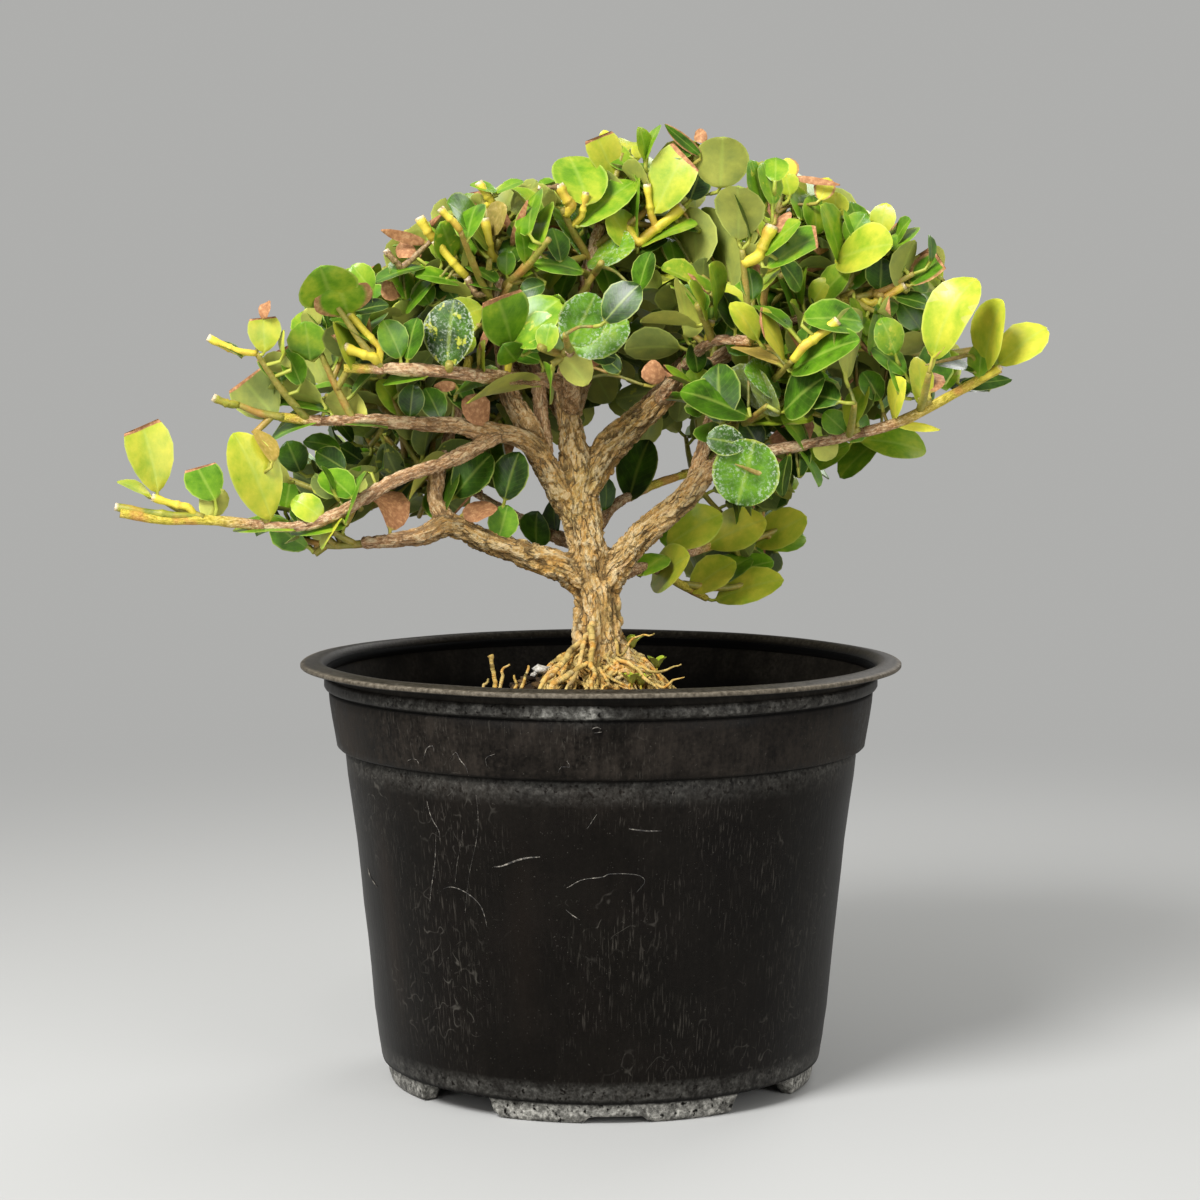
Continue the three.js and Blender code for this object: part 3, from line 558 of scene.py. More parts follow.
def pot_shape(radius, height, turn, place):
    """Feet: the foot ring's lowest points are raised to the floor's height in the gaps between
    the feet, with sloped ends, and by the notch in the middle of each foot. The rim dips and
    swells a little, as thin plastic does, and the wall is not quite round."""
    sector = 2 * math.pi / FOOT_COUNT
    off = np.abs((turn - FOOT_TURN + sector / 2) % sector - sector / 2)
    gap = ramp(off, sector / 2 - FOOT_GAP / 2 - 0.045, sector / 2 - FOOT_GAP / 2 + 0.005)
    notch = 1 - ramp(off, NOTCH_HALF, NOTCH_HALF + 0.05)
    lift = np.maximum(gap * (BASE_HEIGHT + 0.1), notch * NOTCH_HEIGHT)
    ring = (height < BASE_HEIGHT + 0.05) & (place < FEET_END)
    low = np.where(ring, np.maximum(height, lift), height)
    around = np.stack([np.cos(turn) * 1.2, np.sin(turn) * 1.2, height / 60], -1)
    flange = ramp(height, 112.5, 114.5)
    low = low + flange * 0.3 * noise(around * 2.2, 3)
    radius = radius + (0.22 * noise(around, 5) + 0.1 * noise(around * 5, 6)) * ramp(height, 8, 40)
    grain = np.stack([np.cos(turn) * 26, np.sin(turn) * 26, height / 3], -1)
    crust = 0.5 + 0.5 * noise(grain, 8)
    outside = place < OUTSIDE_END
    front = 0.08 + 0.26 * ramp(-np.sin(turn), 0.1, 0.95)
    patch = hump(turn, LIME_TURN, 0.12, 4)
    bead = hump(height, 110.4, 1.5) * outside * (front + 2.0 * patch)
    feet = (1 - ramp(height, 4.5, 6.0)) * outside + 0.3 * hump(height, 8.0, 1.2) * outside
    step = hump(height, 90.9, 0.7) * 0.3 * outside
    lime = np.clip(bead * (0.3 + crust) + feet + step, 0, 1)
    # Painted shade: black in the grooves under the step and the bead, in the gap under the flange and
    # along the wall's foot.
    groove = hump(height, 91.9, 0.5) + hump(height, 108.2, 0.45)
    groove = groove + ramp(height, 112.0, 112.5) * (1 - ramp(height, 114.65, 114.8))
    groove = groove + hump(height, BASE_HEIGHT, 0.35) * (radius > 59)
    inner = place >= INSIDE_START
    # Painted highlight on the flange's outer lip, with dust on the rim's top and on the inside near the
    # rim.
    edge = ramp(height, 114.7, 115.0) * (radius > 82.3)
    top = ramp(height, 115.6, 116.0) * ~inner
    dust = np.clip(edge * 0.62 + 0.2 * top + 0.1 * inner * crust * ramp(height, 100, 106), 0, 1)
    band = ramp(height, 92, 93.5) * (1 - ramp(height, 107, 108)) + ramp(height, 80, 90) * 0.6
    haze = np.clip(0.12 + band * 0.55 * (0.3 + crust), 0, 1) * outside
    # Painted reflection: two faint brown streaks at these turns, low on the wall.
    warm = hump(turn, REFLECTION_TURNS[0], 0.07) + 0.35 * hump(turn, REFLECTION_TURNS[1], 0.06)
    warm = warm * ramp(height, 10, 40) * (1 - ramp(height, 60, 88)) * outside
    values = {"lime": lime, "dust": dust, "grime": np.clip(groove * outside, 0, 1)}
    values.update(haze=haze, warm=warm, inner=inner.astype(float))
    return radius, low, values


# Soil


SOIL_PROFILE = [
    [0.0, 7.9], [30, 7.9], [56.0, 7.9], [59.4, 11.9], [62.4, 40.0], [66.5, 77.6], [68.7, 90.8],
    [70.8, 94.8], [71.3, 96.4], [70.6, 97.2], [67, 97.6], [62, 98.0], [58, 98.5], [54, 99.1],
    [50, 99.7], [46, 100.3], [42, 100.9], [38, 101.5], [34, 102.2], [30, 103.1], [26, 104.0],
    [22, 105.0], [18, 105.9], [14, 106.6], [9, 107.3], [4, 107.8], [0.0, 108.0],
]


SOIL_ROUND = 160
HEAP_HEIGHT = 6.0
HEAP_AT = [-17.0, -2.0]
HEAP_WIDTHS = [8.5, 10.0]


def heap(x, y):
    """Mix heaped against the roots on the left: how far it lifts the soil."""
    return HEAP_HEIGHT * hump(x, HEAP_AT[0], HEAP_WIDTHS[0]) * hump(y, HEAP_AT[1], HEAP_WIDTHS[1])


def soil_shape(radius, height, turn, place):
    """The top is lumpy: noise lifts it by up to 1.5 mm, and not at the wall."""
    across = np.stack([radius * np.cos(turn), radius * np.sin(turn), height * 0], -1)
    height = height + heap(across[..., 0], across[..., 1]) * (place >= 12)
    top = (place >= 10) * ramp(72.0 - radius, 0, 4)
    lumps = 1.1 * noise(across / 9, 11) + 0.7 * noise(across / 3.4, 12)
    lumps += 0.35 * noise(across / 1.6, 13)
    return radius, height + lumps * top, {}


POT = pot_plastic()
SOIL = potting_mix()

piece(
    "nursery_pot", turned(POT_PROFILE, POT_ROUND, pot_shape), POT, ["pot"]
)
# Scratches that the photograph shows on the wall: radius in mm, then pixels along each.
SCRATCHES = [
    [0.24, [494, 867], [503, 866], [515, 861], [527, 858], [540, 857]],
    [0.13, [443, 889], [450, 887], [459, 889], [471, 896], [480, 905], [484, 914], [487, 927]],
    [0.09, [436, 832], [435, 861], [431, 891], [430, 902]],
    [0.06, [476, 795], [478, 813], [477, 837], [469, 876], [465, 915]],
    [0.05, [463, 830], [460, 848], [457, 865], [455, 885]], [0.16, [368, 868], [370, 876], [377, 887]],
    [0.12, [427, 801], [429, 810], [432, 819], [439, 831], [440, 841]],
    [0.07, [407, 761], [412, 759], [417, 760], [419, 766]],
    [0.12, [424, 757], [427, 748], [433, 746], [434, 752]],
    [0.12, [450, 760], [456, 752], [460, 760], [466, 767], [469, 776]],
    [0.1, [487, 767], [486, 758], [495, 754]], [0.1, [558, 773], [561, 767], [570, 767], [567, 761]],
    [0.2, [592, 729], [597, 727], [601, 729]], [0.13, [594, 733], [602, 732]],
    [0.11, [567, 888], [582, 880], [603, 877], [610, 874], [637, 875], [645, 881], [637, 892]],
    [0.22, [629, 829], [646, 831], [662, 831]], [0.06, [678, 783], [672, 795], [669, 812]],
    [0.09, [587, 829], [597, 814]], [0.12, [566, 910], [572, 915], [580, 920]],
]


def on_wall(u, v):
    """The point of the pot's wall that the photograph shows at a pixel: the depth is moved to
    the wall's radius at the height found, until both agree."""
    depth = -66.0
    for _ in range(12):
        point = at(u, v, depth)
        radius = np.interp(point[2], WALL[:, 1], WALL[:, 0])
        depth = -math.sqrt(max(radius**2 - point[0] ** 2, 1.0))
    return point


def wall_scratches():
    """Each scratch as a thread laid on the wall and sunk half into it."""
    threads = []
    for number, (radius, *pixels) in enumerate(SCRATCHES):
        points = np.array([[*on_wall(u, v), radius] for u, v in pixels])
        path = smooth_path(points, 1.0)
        away = np.hypot(path[:, 0], path[:, 1])
        reach = np.interp(path[:, 2], WALL[:, 1], WALL[:, 0])
        path[:, :2] *= (reach / away)[:, None]
        path[:, 3] *= 0.35 + 0.65 * np.sin(np.linspace(0.25, 2.9, len(path)))
        threads.append(tube(path, 5, 1.0, 0.5, number))
    return joined(threads)


piece("wall_scratches", wall_scratches(), scratched())
soil_body = turned(SOIL_PROFILE, SOIL_ROUND, soil_shape)
piece("soil", soil_body, SOIL, ["potting_soil"])

# Wood


# Each limb as [x, y, z, radius] from where it leaves the wood to its end.
LIMBS = {
    "trunk": [
        [0, 0, 98, 10.5], [0, 0, 104, 10.2], [0, 0, 110, 9.4], [0, 0, 116, 8.0], [-0.6, 0, 122, 6.9],
        [-1, 0, 132, 6.5], [-3, 0, 144, 6.0], [-5, 0, 155, 5.4], [-6, 0, 163, 5.0], [-7, 0, 171, 4.4],
        [-8, 1, 179, 3.8], [-9, 3, 188, 3.4], [-8, 6, 199, 3.0], [-5, 8, 212, 2.4], [-3, 8, 226, 1.9],
        [0, 6, 236, 1.4],
    ],
    "low_left": [
        [-2, 0, 135, 4.6], [-11, -3, 142, 4.1], [-22, -6, 146, 3.8], [-33, -9, 150, 3.7],
        [-42, -11, 154, 3.5], [-49, -12, 151, 2.7], [-57, -12, 150, 2.1], [-65, -12, 149, 1.7],
    ],
    "low_left_riser": [
        [-42, -11, 155, 3.0], [-45, -8, 160, 2.5], [-45, -4, 166, 2.3], [-42, 4, 177, 1.9],
        [-39, 12, 187, 1.5], [-37, 20, 199, 1.2],
    ],
    "left": [
        [-7, 0, 156, 4.4], [-12, -2, 164, 3.8], [-17, -5, 173, 3.5], [-21, -8, 177, 3.2],
        [-29, -11, 179, 2.8], [-39, -15, 181, 2.5], [-51, -20, 182, 2.2], [-63, -26, 183, 1.9],
        [-75, -30, 183, 1.5], [-85, -32, 184, 1.2],
    ],
    "far_left": [
        [-27, -10, 179, 2.6], [-34, -16, 175, 2.3], [-43, -24, 171, 2.1], [-53, -32, 168, 2.0],
        [-62, -38, 163, 1.9], [-71, -43, 158, 1.8], [-79, -46, 156, 1.6], [-86, -48, 156, 1.5],
        [-94, -50, 157, 1.4], [-103, -52, 158, 1.3], [-113, -54, 158, 1.2], [-124, -56, 160, 1.2],
    ],
    "left_fork": [
        [-17, -5, 172, 3.3], [-21, -2, 182, 3.1], [-25, 2, 189, 2.7], [-27, -4, 201, 2.1],
        [-28, -12, 215, 1.7], [-27, -14, 221, 1.5],
    ],
    "inner_left": [
        [-15, -4, 172, 2.4], [-16, 2, 181, 2.3], [-17, 6, 189, 2.2], [-20, 14, 204, 1.8],
        [-23, 20, 221, 1.3],
    ],
    "front_left": [
        [-8, 1, 188, 3.0], [-12, -10, 193, 2.5], [-22, -22, 194, 2.0], [-32, -32, 195, 1.8],
        [-42, -38, 196, 1.9], [-52, -42, 197, 1.9], [-60, -43, 197, 1.4], [-67, -44, 197, 1.2],
    ],
    "right": [
        [-5, 0, 163, 4.8], [0, 2, 171, 4.5], [7, 4, 179, 4.2], [14, 4, 185, 3.7], [22, 2, 192, 2.9],
        [31, -2, 198, 2.3], [42, -6, 205, 1.9], [54, -10, 210, 1.6], [67, -14, 215, 1.3],
    ],
    "low_right": [
        [0, 0, 135, 4.7], [6, -2, 144, 4.3], [14, -4, 153, 3.9], [22, -6, 160, 3.7], [28, -9, 167, 3.2],
        [34, -13, 172, 2.5], [43, -18, 174, 1.9], [53, -24, 176, 1.6], [66, -30, 179, 1.5],
        [79, -36, 183, 1.4], [92, -40, 190, 1.3], [104, -44, 197, 1.2],
    ],
    "right_fork": [
        [25, -7, 163, 2.8], [28, -2, 173, 2.5], [31, 4, 182, 2.3], [39, 8, 192, 1.9],
        [53, 12, 199, 1.6], [69, 14, 202, 1.4], [83, 10, 202, 1.1],
    ],
    "right_front": [[16, 3, 187, 2.4], [24, -12, 198, 1.9], [30, -22, 204, 1.7], [40, -28, 204, 1.4]],
    "centre_front": [[-8, 2, 185, 2.8], [-8, -14, 192, 2.3], [-8, -32, 199, 1.9], [-8, -46, 202, 1.5]],
    "back_low": [
        [-1, 3, 152, 2.0], [3, 14, 157, 1.7], [11, 28, 161, 1.4], [21, 44, 164, 1.2],
        [32, 60, 166, 1.0],
    ],
    "back_low_right": [[2, 4, 138, 2.2], [14, 26, 140, 1.7], [29, 50, 143, 1.4], [41, 64, 145, 1.1]],
    "back_low_branch": [[14, 26, 140, 1.5], [22, 42, 134, 1.3], [31, 56, 128, 1.0]],
    "back_left_low": [
        [-4, 3, 147, 2.4], [-14, 22, 149, 2.0], [-28, 40, 155, 1.7], [-43, 52, 163, 1.3],
        [-60, 58, 167, 1.0],
    ],
    "back_left": [
        [-8, 2, 179, 2.6], [-15, 22, 189, 2.2], [-28, 40, 200, 1.9], [-43, 54, 210, 1.4],
        [-54, 60, 216, 1.1],
    ],
    "back_centre": [
        [-8, 3, 184, 2.8], [-4, 24, 196, 2.3], [-1, 44, 210, 1.8], [1, 56, 225, 1.4], [2, 62, 234, 1.1],
    ],
    "back_right": [
        [1, 2, 172, 2.6], [14, 28, 187, 2.2], [26, 46, 200, 1.8], [40, 58, 212, 1.3],
        [49, 64, 219, 1.0],
    ],
}

# Surface roots: compass angle in degrees, reach from the trunk's middle, and radius.
ROOTS = [
    [5, 23, 2.3], [30, 25, 1.7], [52, 22, 2.0], [76, 25, 1.5], [95, 23, 2.1], [118, 24, 1.6],
    [140, 23, 2.3], [162, 22, 1.7], [182, 21, 2.6], [201, 24, 1.9], [220, 22, 2.1], [240, 25, 1.7],
    [262, 23, 2.1], [283, 24, 1.6], [303, 22, 2.2], [324, 25, 1.9], [346, 24, 2.0],
]
THIN_LIMB = 1.45
VOXEL = 0.58


def root_path(angle, reach, radius, top=121.0):
    """A root leaves the flared foot of the trunk, slopes down over the soil and goes in."""
    turn = math.radians(angle)
    shares = np.array([0.16, 0.32, 0.5, 0.7, 0.88, 1.05])
    heights = np.array([top, top - 4.6, 113.0, 109.0, 105.4, 101.0])
    sway = np.cumsum(np.sin(angle * 7.7 + shares * 9) * 0.17)
    sizes = np.array([1.4, 1.15, 0.85, 0.7, 0.55, 0.4]) * radius
    x = reach * shares * np.cos(turn + sway)
    y = reach * shares * np.sin(turn + sway)
    return np.stack([x, y, heights, sizes], -1)


def thick_part(points):
    """The stretch of a limb, as a sampled path, that is thicker than a twig."""
    path = smooth_path(points, 1.0)
    thin = np.nonzero(path[:, 3] < THIN_LIMB)[0]
    return path if not len(thin) else path[: thin[0] + 1]


def remeshed(shape, voxel):
    """The outer skin of overlapping closed tubes, as even quads, with Blender's voxel remesh."""
    mesh = bpy.data.meshes.new("rough_wood")
    faces = shape["quads"].tolist() + shape["tris"].tolist()
    mesh.from_pydata(shape["points"].tolist(), [], faces)
    rough = bpy.data.objects.new("rough_wood", mesh)
    bpy.context.scene.collection.objects.link(rough)
    change = rough.modifiers.new("skin", "REMESH")
    change.mode = "VOXEL"
    change.voxel_size = voxel
    graph = bpy.context.evaluated_depsgraph_get()
    skin = rough.evaluated_get(graph).to_mesh()
    points = np.zeros(len(skin.vertices) * 3)
    skin.vertices.foreach_get("co", points)
    corners = np.zeros(len(skin.loops), np.int32)
    skin.loops.foreach_get("vertex_index", corners)
    quads = corners.reshape(-1, 4).astype(int)
    rough.evaluated_get(graph).to_mesh_clear()
    bpy.data.objects.remove(rough)
    bpy.data.meshes.remove(mesh)
    return surface(points.reshape(-1, 3), quads)


def spread(shape, values):
    """At each vertex the sum of a value over its faces."""
    quads, count = shape["quads"], len(shape["points"])
    total = np.zeros((count,) + values.shape[1:])
    for corner in range(4):
        np.add.at(total, quads[:, corner], values)
    return total


def relaxed(shape, times):
    """Each vertex moves half way to the mean of the middles of its faces, times over."""
    for _ in range(times):
        middle = shape["points"][shape["quads"]].mean(1)
        faces = spread(shape, np.ones(len(middle)))
        mean = spread(shape, middle) / np.maximum(faces, 1)[:, None]
        shape["points"] = shape["points"] * 0.5 + mean * 0.5
    return shape


def normals(shape):
    corner = shape["points"][shape["quads"]]
    face = np.cross(corner[:, 2] - corner[:, 0], corner[:, 3] - corner[:, 1])
    return unit(spread(shape, face))


def limb_places(points, paths):
    """For each point, its places on the two limbs whose skin is nearest: how far along the
    limb in mm, the offset from its middle line in the limb's own turning frame, the limb's
    radius there, its number, and how far the point is from the skin."""
    best = [np.full(len(points), 1e9), np.full(len(points), 1e9)]
    rows = [np.zeros((len(points), 5)), np.zeros((len(points), 5))]
    for number, path in enumerate(paths):
        reach = path[:, 3].max() + 3
        low, high = path[:, :3].min(0) - reach, path[:, :3].max(0) + reach
        near = np.nonzero(np.all((points > low) & (points < high), axis=1))[0]
        if not len(near):
            continue
        tangent, normal, across = frames(path)
        run = np.concatenate([[0], np.cumsum(np.linalg.norm(np.diff(path[:, :3], axis=0), axis=1))])
        away = points[near][:, None] - path[None, :, :3]
        gap = np.einsum("ijk,ijk->ij", away, away)
        nearest = gap.argmin(1)
        offset = away[np.arange(len(near)), nearest]
        skin = np.sqrt(gap[np.arange(len(near)), nearest]) - path[nearest, 3]
        along = run[nearest] + np.einsum("ij,ij->i", offset, tangent[nearest])
        row = np.stack([
            np.einsum("ij,ij->i", offset, normal[nearest]),
            np.einsum("ij,ij->i", offset, across[nearest]),
            along, path[nearest, 3], np.full(len(near), number),
        ], -1)
        first = skin < best[0][near]
        second = ~first & (skin < best[1][near])
        moved = near[first]
        best[1][moved], rows[1][moved] = best[0][moved], rows[0][moved]
        best[0][moved], rows[0][moved] = skin[first], row[first]
        best[1][near[second]], rows[1][near[second]] = skin[second], row[second]
    return rows, best


def bark_height(row):
    """Furrows along a limb. Noise drawn out four times along the limb makes crooked ridges,
    one minus its size makes sharp furrows, and a coarser one breaks them into plates."""
    radius = row[:, 3]
    offset = np.stack([row[:, 0], row[:, 1], row[:, 2] * 0.21], -1) + row[:, 4:5] * 17.3
    sway = np.stack([row[:, 0] / 5, row[:, 1] / 5, row[:, 2] / 6], -1) + row[:, 4:5]
    wander = 0.75 * noise(sway, 21)
    cells = offset / 1.9 + wander[:, None]
    furrow = 1 - np.abs(noise(cells, 22))
    second = 1 - np.abs(noise(offset / 1.0 + 1.3 * wander[:, None] + 40, 26))
    crossing = 1 - np.abs(noise(np.stack([row[:, 0] / 4, row[:, 1] / 4, row[:, 2] / 3.4], -1), 23))
    fine = layered(np.stack([row[:, 0], row[:, 1], row[:, 2] * 0.4], -1) / 0.8, 24, 2)
    ridge = 1 - ramp(furrow, 0.7, 1.0) - 0.5 * ramp(second, 0.75, 1.0)
    ridge = ridge - 0.6 * ramp(crossing, 0.86, 1.0) * (furrow > 0.3)
    ridge = np.clip(ridge + 0.3 * fine, 0, 1)
    lump = noise(np.stack([row[:, 0] / 4, row[:, 1] / 4, row[:, 2] / 7], -1) + row[:, 4:5], 25)
    # Flakes: the level of coarse noise, cut into steps, so that each step ends in a sharp edge.
    layer_place = np.stack([row[:, 0] / 3, row[:, 1] / 3, row[:, 2] / 8], -1) + row[:, 4:5]
    level = 6 * layered(layer_place, 27, 3)
    flake = np.floor(level) - level * 0.55
    edge = 1 - ramp(level - np.floor(level), 0.0, 0.18)
    ridge = np.clip(ridge - 0.45 * edge, 0, 1)
    depth = np.clip(0.22 * radius, 0.15, 1.25)
    height = depth * (ridge - 0.75) + 0.09 * radius * lump
    height = height + np.clip(radius / 6, 0.1, 1) * 0.3 * flake
    return height, ridge, (np.floor(level) * 0.37) % 1.0


# How far apart the limbs lie in the space of the bark's noise.
LIMB_APART = 31.7


def old_wood():
    """Trunk, limbs and main roots as one skin with furrowed bark."""
    paths = [thick_part(points) for points in LIMBS.values()]
    paths += [smooth_path(root_path(*root), 1.0) for root in ROOTS]
    sides = 18
    rough = joined([tube(path[::2], sides, 1.5) for path in paths if len(path) > 4])
    skin = relaxed(remeshed(rough, VOXEL), 2)
    rows, gaps = limb_places(skin["points"], paths)
    share = 1 / (np.maximum(gaps[0], 0) + 0.6) ** 2, 1 / (np.maximum(gaps[1], 0) + 0.6) ** 2
    share = share[0] / (share[0] + np.where(gaps[1] < 50, share[1], 0))
    first, second = bark_height(rows[0]), bark_height(rows[1])
    height = share * first[0] + (1 - share) * second[0]
    ridge = share * first[1] + (1 - share) * second[1]
    skin["points"] = skin["points"] + normals(skin) * height[:, None]
    radius = rows[0][:, 3]
    is_root = rows[0][:, 4] >= len(LIMBS)
    skin["values"] = {
        "ridge": ridge, "flake": np.where(share > 0.5, first[2], second[2]),
        "thin": np.where(is_root, 0.0, 1 - ramp(radius, 1.3, 4.1)),
        "root": ramp(skin["points"][:, 2], 122, 104) * 1.0,
        "bark_place": rows[0][:, :3] + rows[0][:, 4:5] * LIMB_APART,
    }
    return skin


def thin_wood():
    """The ends of the limbs, too thin for corky bark."""
    twigs = []
    for number, points in enumerate(LIMBS.values()):
        path = smooth_path(points, 1.0)
        thin = np.nonzero(path[:, 3] < THIN_LIMB)[0]
        if not len(thin):
            continue
        start = max(thin[0] - 3, 0)
        twig = tube(path[start:], 12, 1.0, 0.1, number)
        turn = np.tile(np.linspace(0, 2 * math.pi, 12, endpoint=False), len(twig["points"]) // 12)
        run = twig["values"]["run"] + number * LIMB_APART
        place = np.stack([np.cos(turn), np.sin(turn), run], -1)
        twig["values"].update(
            bark_place=place, thin=np.ones(len(turn)), root=np.zeros(len(turn)),
            young=1 - ramp(np.repeat(smooth_path(path[start:], 1.0)[:, 3], 12), 1.3, 1.46),
            flake=np.full(len(turn), 0.2),
            ridge=0.6 + 0.3 * noise(place * np.array([2.0, 2.0, 0.6]), 31),
        )
        twigs.append(twig)
    return joined(twigs)


# The mound of roots under the trunk: its height at each distance from the pot's axis.
MOUND_RADII = [0, 5, 9, 13, 16.5, 20.5, 24, 30, 70]
MOUND_HEIGHTS = [122, 120.5, 117.0, 113.4, 109.4, 105.6, 102.6, 101.4, 97.0]
FINE_ROOTS = 130


def mound(x, y):
    return np.interp(np.hypot(x, y), MOUND_RADII, MOUND_HEIGHTS)


def crooked(path, seed):
    """A path whose points wander, as a root's do, by up to half a millimetre each way."""
    place = np.arange(len(path)) * 0.37
    for axis in range(3):
        along = np.stack(
            [place, np.full(len(path), axis * 5.3), np.full(len(path), seed * 1.7)], -1
        )
        path[:, axis] += 0.55 * layered(along, seed, 2) * np.minimum(place, 1)
    return path


def fine_roots():
    """A mat of fine roots. Each runs outwards and down over the mound while its bearing drifts
    and waves, rises off it here and there, and dips into the soil at its end."""
    chance = np.random.default_rng(12)
    roots = []
    for number in range(FINE_ROOTS):
        t = np.linspace(0, 1, 9)
        bearing = chance.uniform(0, 2 * math.pi)
        start, reach = chance.uniform(5.5, 13), chance.uniform(14, 27)
        size = chance.uniform(0.28, 0.95) * (0.8 if reach > 22 else 1)
        drift = chance.normal(0, 0.55)
        wave = 0.16 * np.sin(t * chance.uniform(5, 12) + chance.uniform(0, 6))
        turn = bearing + drift * t + wave
        radius = start + (reach - start) * t
        x, y = radius * np.cos(turn), radius * np.sin(turn)
        lift = chance.uniform(0.2, 1.8) * np.sin(math.pi * t) ** 2 + 0.5
        z = mound(x, y) + lift - 2.6 * ramp(t, 0.8, 1.0) - 1.2 * (t == 0)
        sizes = size * (1 - 0.55 * t)
        path = smooth_path(np.stack([x, y, z, sizes], -1), 1.5)
        root = tube(crooked(path, number), 6, 1.3, 0.22, number)
        roots.append(root_values(root, number))
    for number, (tied, *rows) in enumerate(SEEN_ROOTS):
        points = [[*at(u, v, depth), size] for u, v, depth, size in rows]
        points.insert(0, buried(points[0]))
        if tied == "both":
            points.append(buried(points[-1]))
        root = tube(crooked(smooth_path(points, 1.0), 300 + number), 8, 1.0, 0.2, 300 + number)
        roots.append(root_values(root, 300 + number))
    return joined(roots)


def buried(point):
    """Where a root's end comes from: inside the trunk if that is near, else the mound below."""
    x, y, z, size = point
    if math.hypot(x, y) < 13:
        return [x / 2, y / 2, z + 2, size]
    return [x, y, mound(x, y) - 1.5, size]


# Roots that stand clear in the photograph: which ends are in the mound, then rows of
# [pixel u, pixel v, depth, radius].
SEEN_ROOTS = [
    ["both", [590, 628, -8, 1.0], [592, 650, -12, 0.85], [593, 668, -17, 0.7], [591, 690, -23, 0.55]],
    ["both", [598, 668, -15, 0.5], [606, 676, -17, 0.5], [608, 684, -20, 0.4], [602, 694, -23, 0.3]],
    ["both", [572, 650, -9, 0.9], [564, 662, -12, 0.8], [552, 674, -17, 0.8], [541, 688, -21, 0.6]],
    ["both", [584, 640, -8, 0.7], [580, 662, -14, 0.7], [573, 678, -18, 0.6], [566, 692, -22, 0.5]],
    [
        "start", [616, 640, -5.5, 0.5], [621, 655, -9, 0.4], [633, 640, -10, 0.32],
        [642, 635, -11, 0.26], [655, 634, -12, 0.16],
    ],
    [
        "start", [640, 668, -10, 0.5], [652, 672, -12, 0.42], [662, 672, -13, 0.36],
        [680, 663, -14, 0.16],
    ],
    ["start", [650, 680, -12, 0.5], [664, 687, -14, 0.4], [673, 680, -14, 0.3], [684, 678, -15, 0.16]],
    ["both", [620, 662, -11, 0.6], [636, 668, -14, 0.5], [652, 684, -17, 0.45], [660, 694, -18, 0.3]],
    ["start", [494, 692, -8, 0.75], [493, 672, -8, 0.6], [492, 660, -8, 0.62], [491, 655, -8, 1.0]],
    ["start", [499, 692, -10, 0.5], [503, 670, -10, 0.42], [509, 664, -10, 0.3]],
    ["start", [482, 692, -6, 0.5], [486, 684, -6, 0.42], [489, 678, -6, 0.3]],
    ["start", [515, 692, -10, 0.5], [516, 684, -10, 0.45], [514, 675, -10, 0.3]],
    ["start", [521, 692, -12, 0.55], [523, 680, -12, 0.5], [530, 665, -12, 0.3]],
    ["both", [552, 690, -20, 0.9], [566, 676, -18, 1.0], [580, 668, -16, 0.8], [592, 662, -14, 0.5]],
]


def root_values(root, number):
    """The values that the bark takes, for a fine root."""
    count = len(root["points"])
    run = root["values"]["run"]
    place = np.stack([np.full(count, number * 3.7), run * 0 + number, run + number * 9.1], -1)
    root["values"].update(
        bark_place=place, thin=np.zeros(count), root=np.ones(count),
        ridge=0.62 + 0.25 * noise(place, 33), flake=np.full(count, (number * 0.29) % 1),
    )
    return root


def lumps(centres, sizes, seed):
    """Crumbs and grits, all worked out at once: each is four rings of six points round an
    upright line, pushed in and out by noise, and turned and flattened by chance."""
    chance = np.random.default_rng(seed)
    count = len(centres)
    rise = np.array([-0.85, -0.3, 0.35, 0.88])
    reach = np.array([0.5, 1.0, 0.95, 0.42])
    angle = np.arange(6) * math.pi / 3
    ring = np.stack([np.cos(angle), np.sin(angle), np.zeros(6)], -1)
    grid = ring[None] * reach[:, None, None] + rise[:, None, None] * np.array([0, 0, 1.0])
    grid = np.broadcast_to(grid, (count, 4, 6, 3)) * chance.uniform(0.7, 1.3, (count, 4, 6, 1))
    grid = grid * chance.uniform([0.7, 0.7, 0.45], [1.2, 1.2, 0.8], (count, 3))[:, None, None]
    turn = chance.uniform(0, math.pi, count)[:, None, None]
    tilt = chance.uniform(-0.6, 0.6, count)[:, None, None]
    x = grid[..., 0] * np.cos(tilt) + grid[..., 2] * np.sin(tilt)
    z = grid[..., 2] * np.cos(tilt) - grid[..., 0] * np.sin(tilt)
    y = grid[..., 1]
    grid = np.stack(
        [x * np.cos(turn) - y * np.sin(turn), x * np.sin(turn) + y * np.cos(turn), z], -1
    )
    grid = grid * sizes[:, None, None, None] + centres[:, None, None]
    start = (np.arange(count) * 24)[:, None, None]
    quads = (grid_quads(4, 6)[None] + start).reshape(-1, 4)
    tris = (end_fans(4, 6)[None] + start).reshape(-1, 3)
    shade = np.repeat(chance.uniform(0, 1, count) ** 0.7, 24)
    return surface(grid.reshape(-1, 3), quads, tris, shade=shade)


def scattered(count, seed, inner, outer, largest):
    """Crumbs of many sizes that lie on the mound and the soil."""
    chance = np.random.default_rng(seed)
    turn = chance.uniform(0, 2 * math.pi, count)
    reach = np.sqrt(chance.uniform(inner**2, outer**2, count))
    x, y = reach * np.cos(turn), reach * np.sin(turn)
    size = largest * chance.uniform(0.25, 1.0, count) ** 1.6
    return lumps(np.stack([x, y, ground(x, y) + size * 0.25], -1), size, seed + 1)


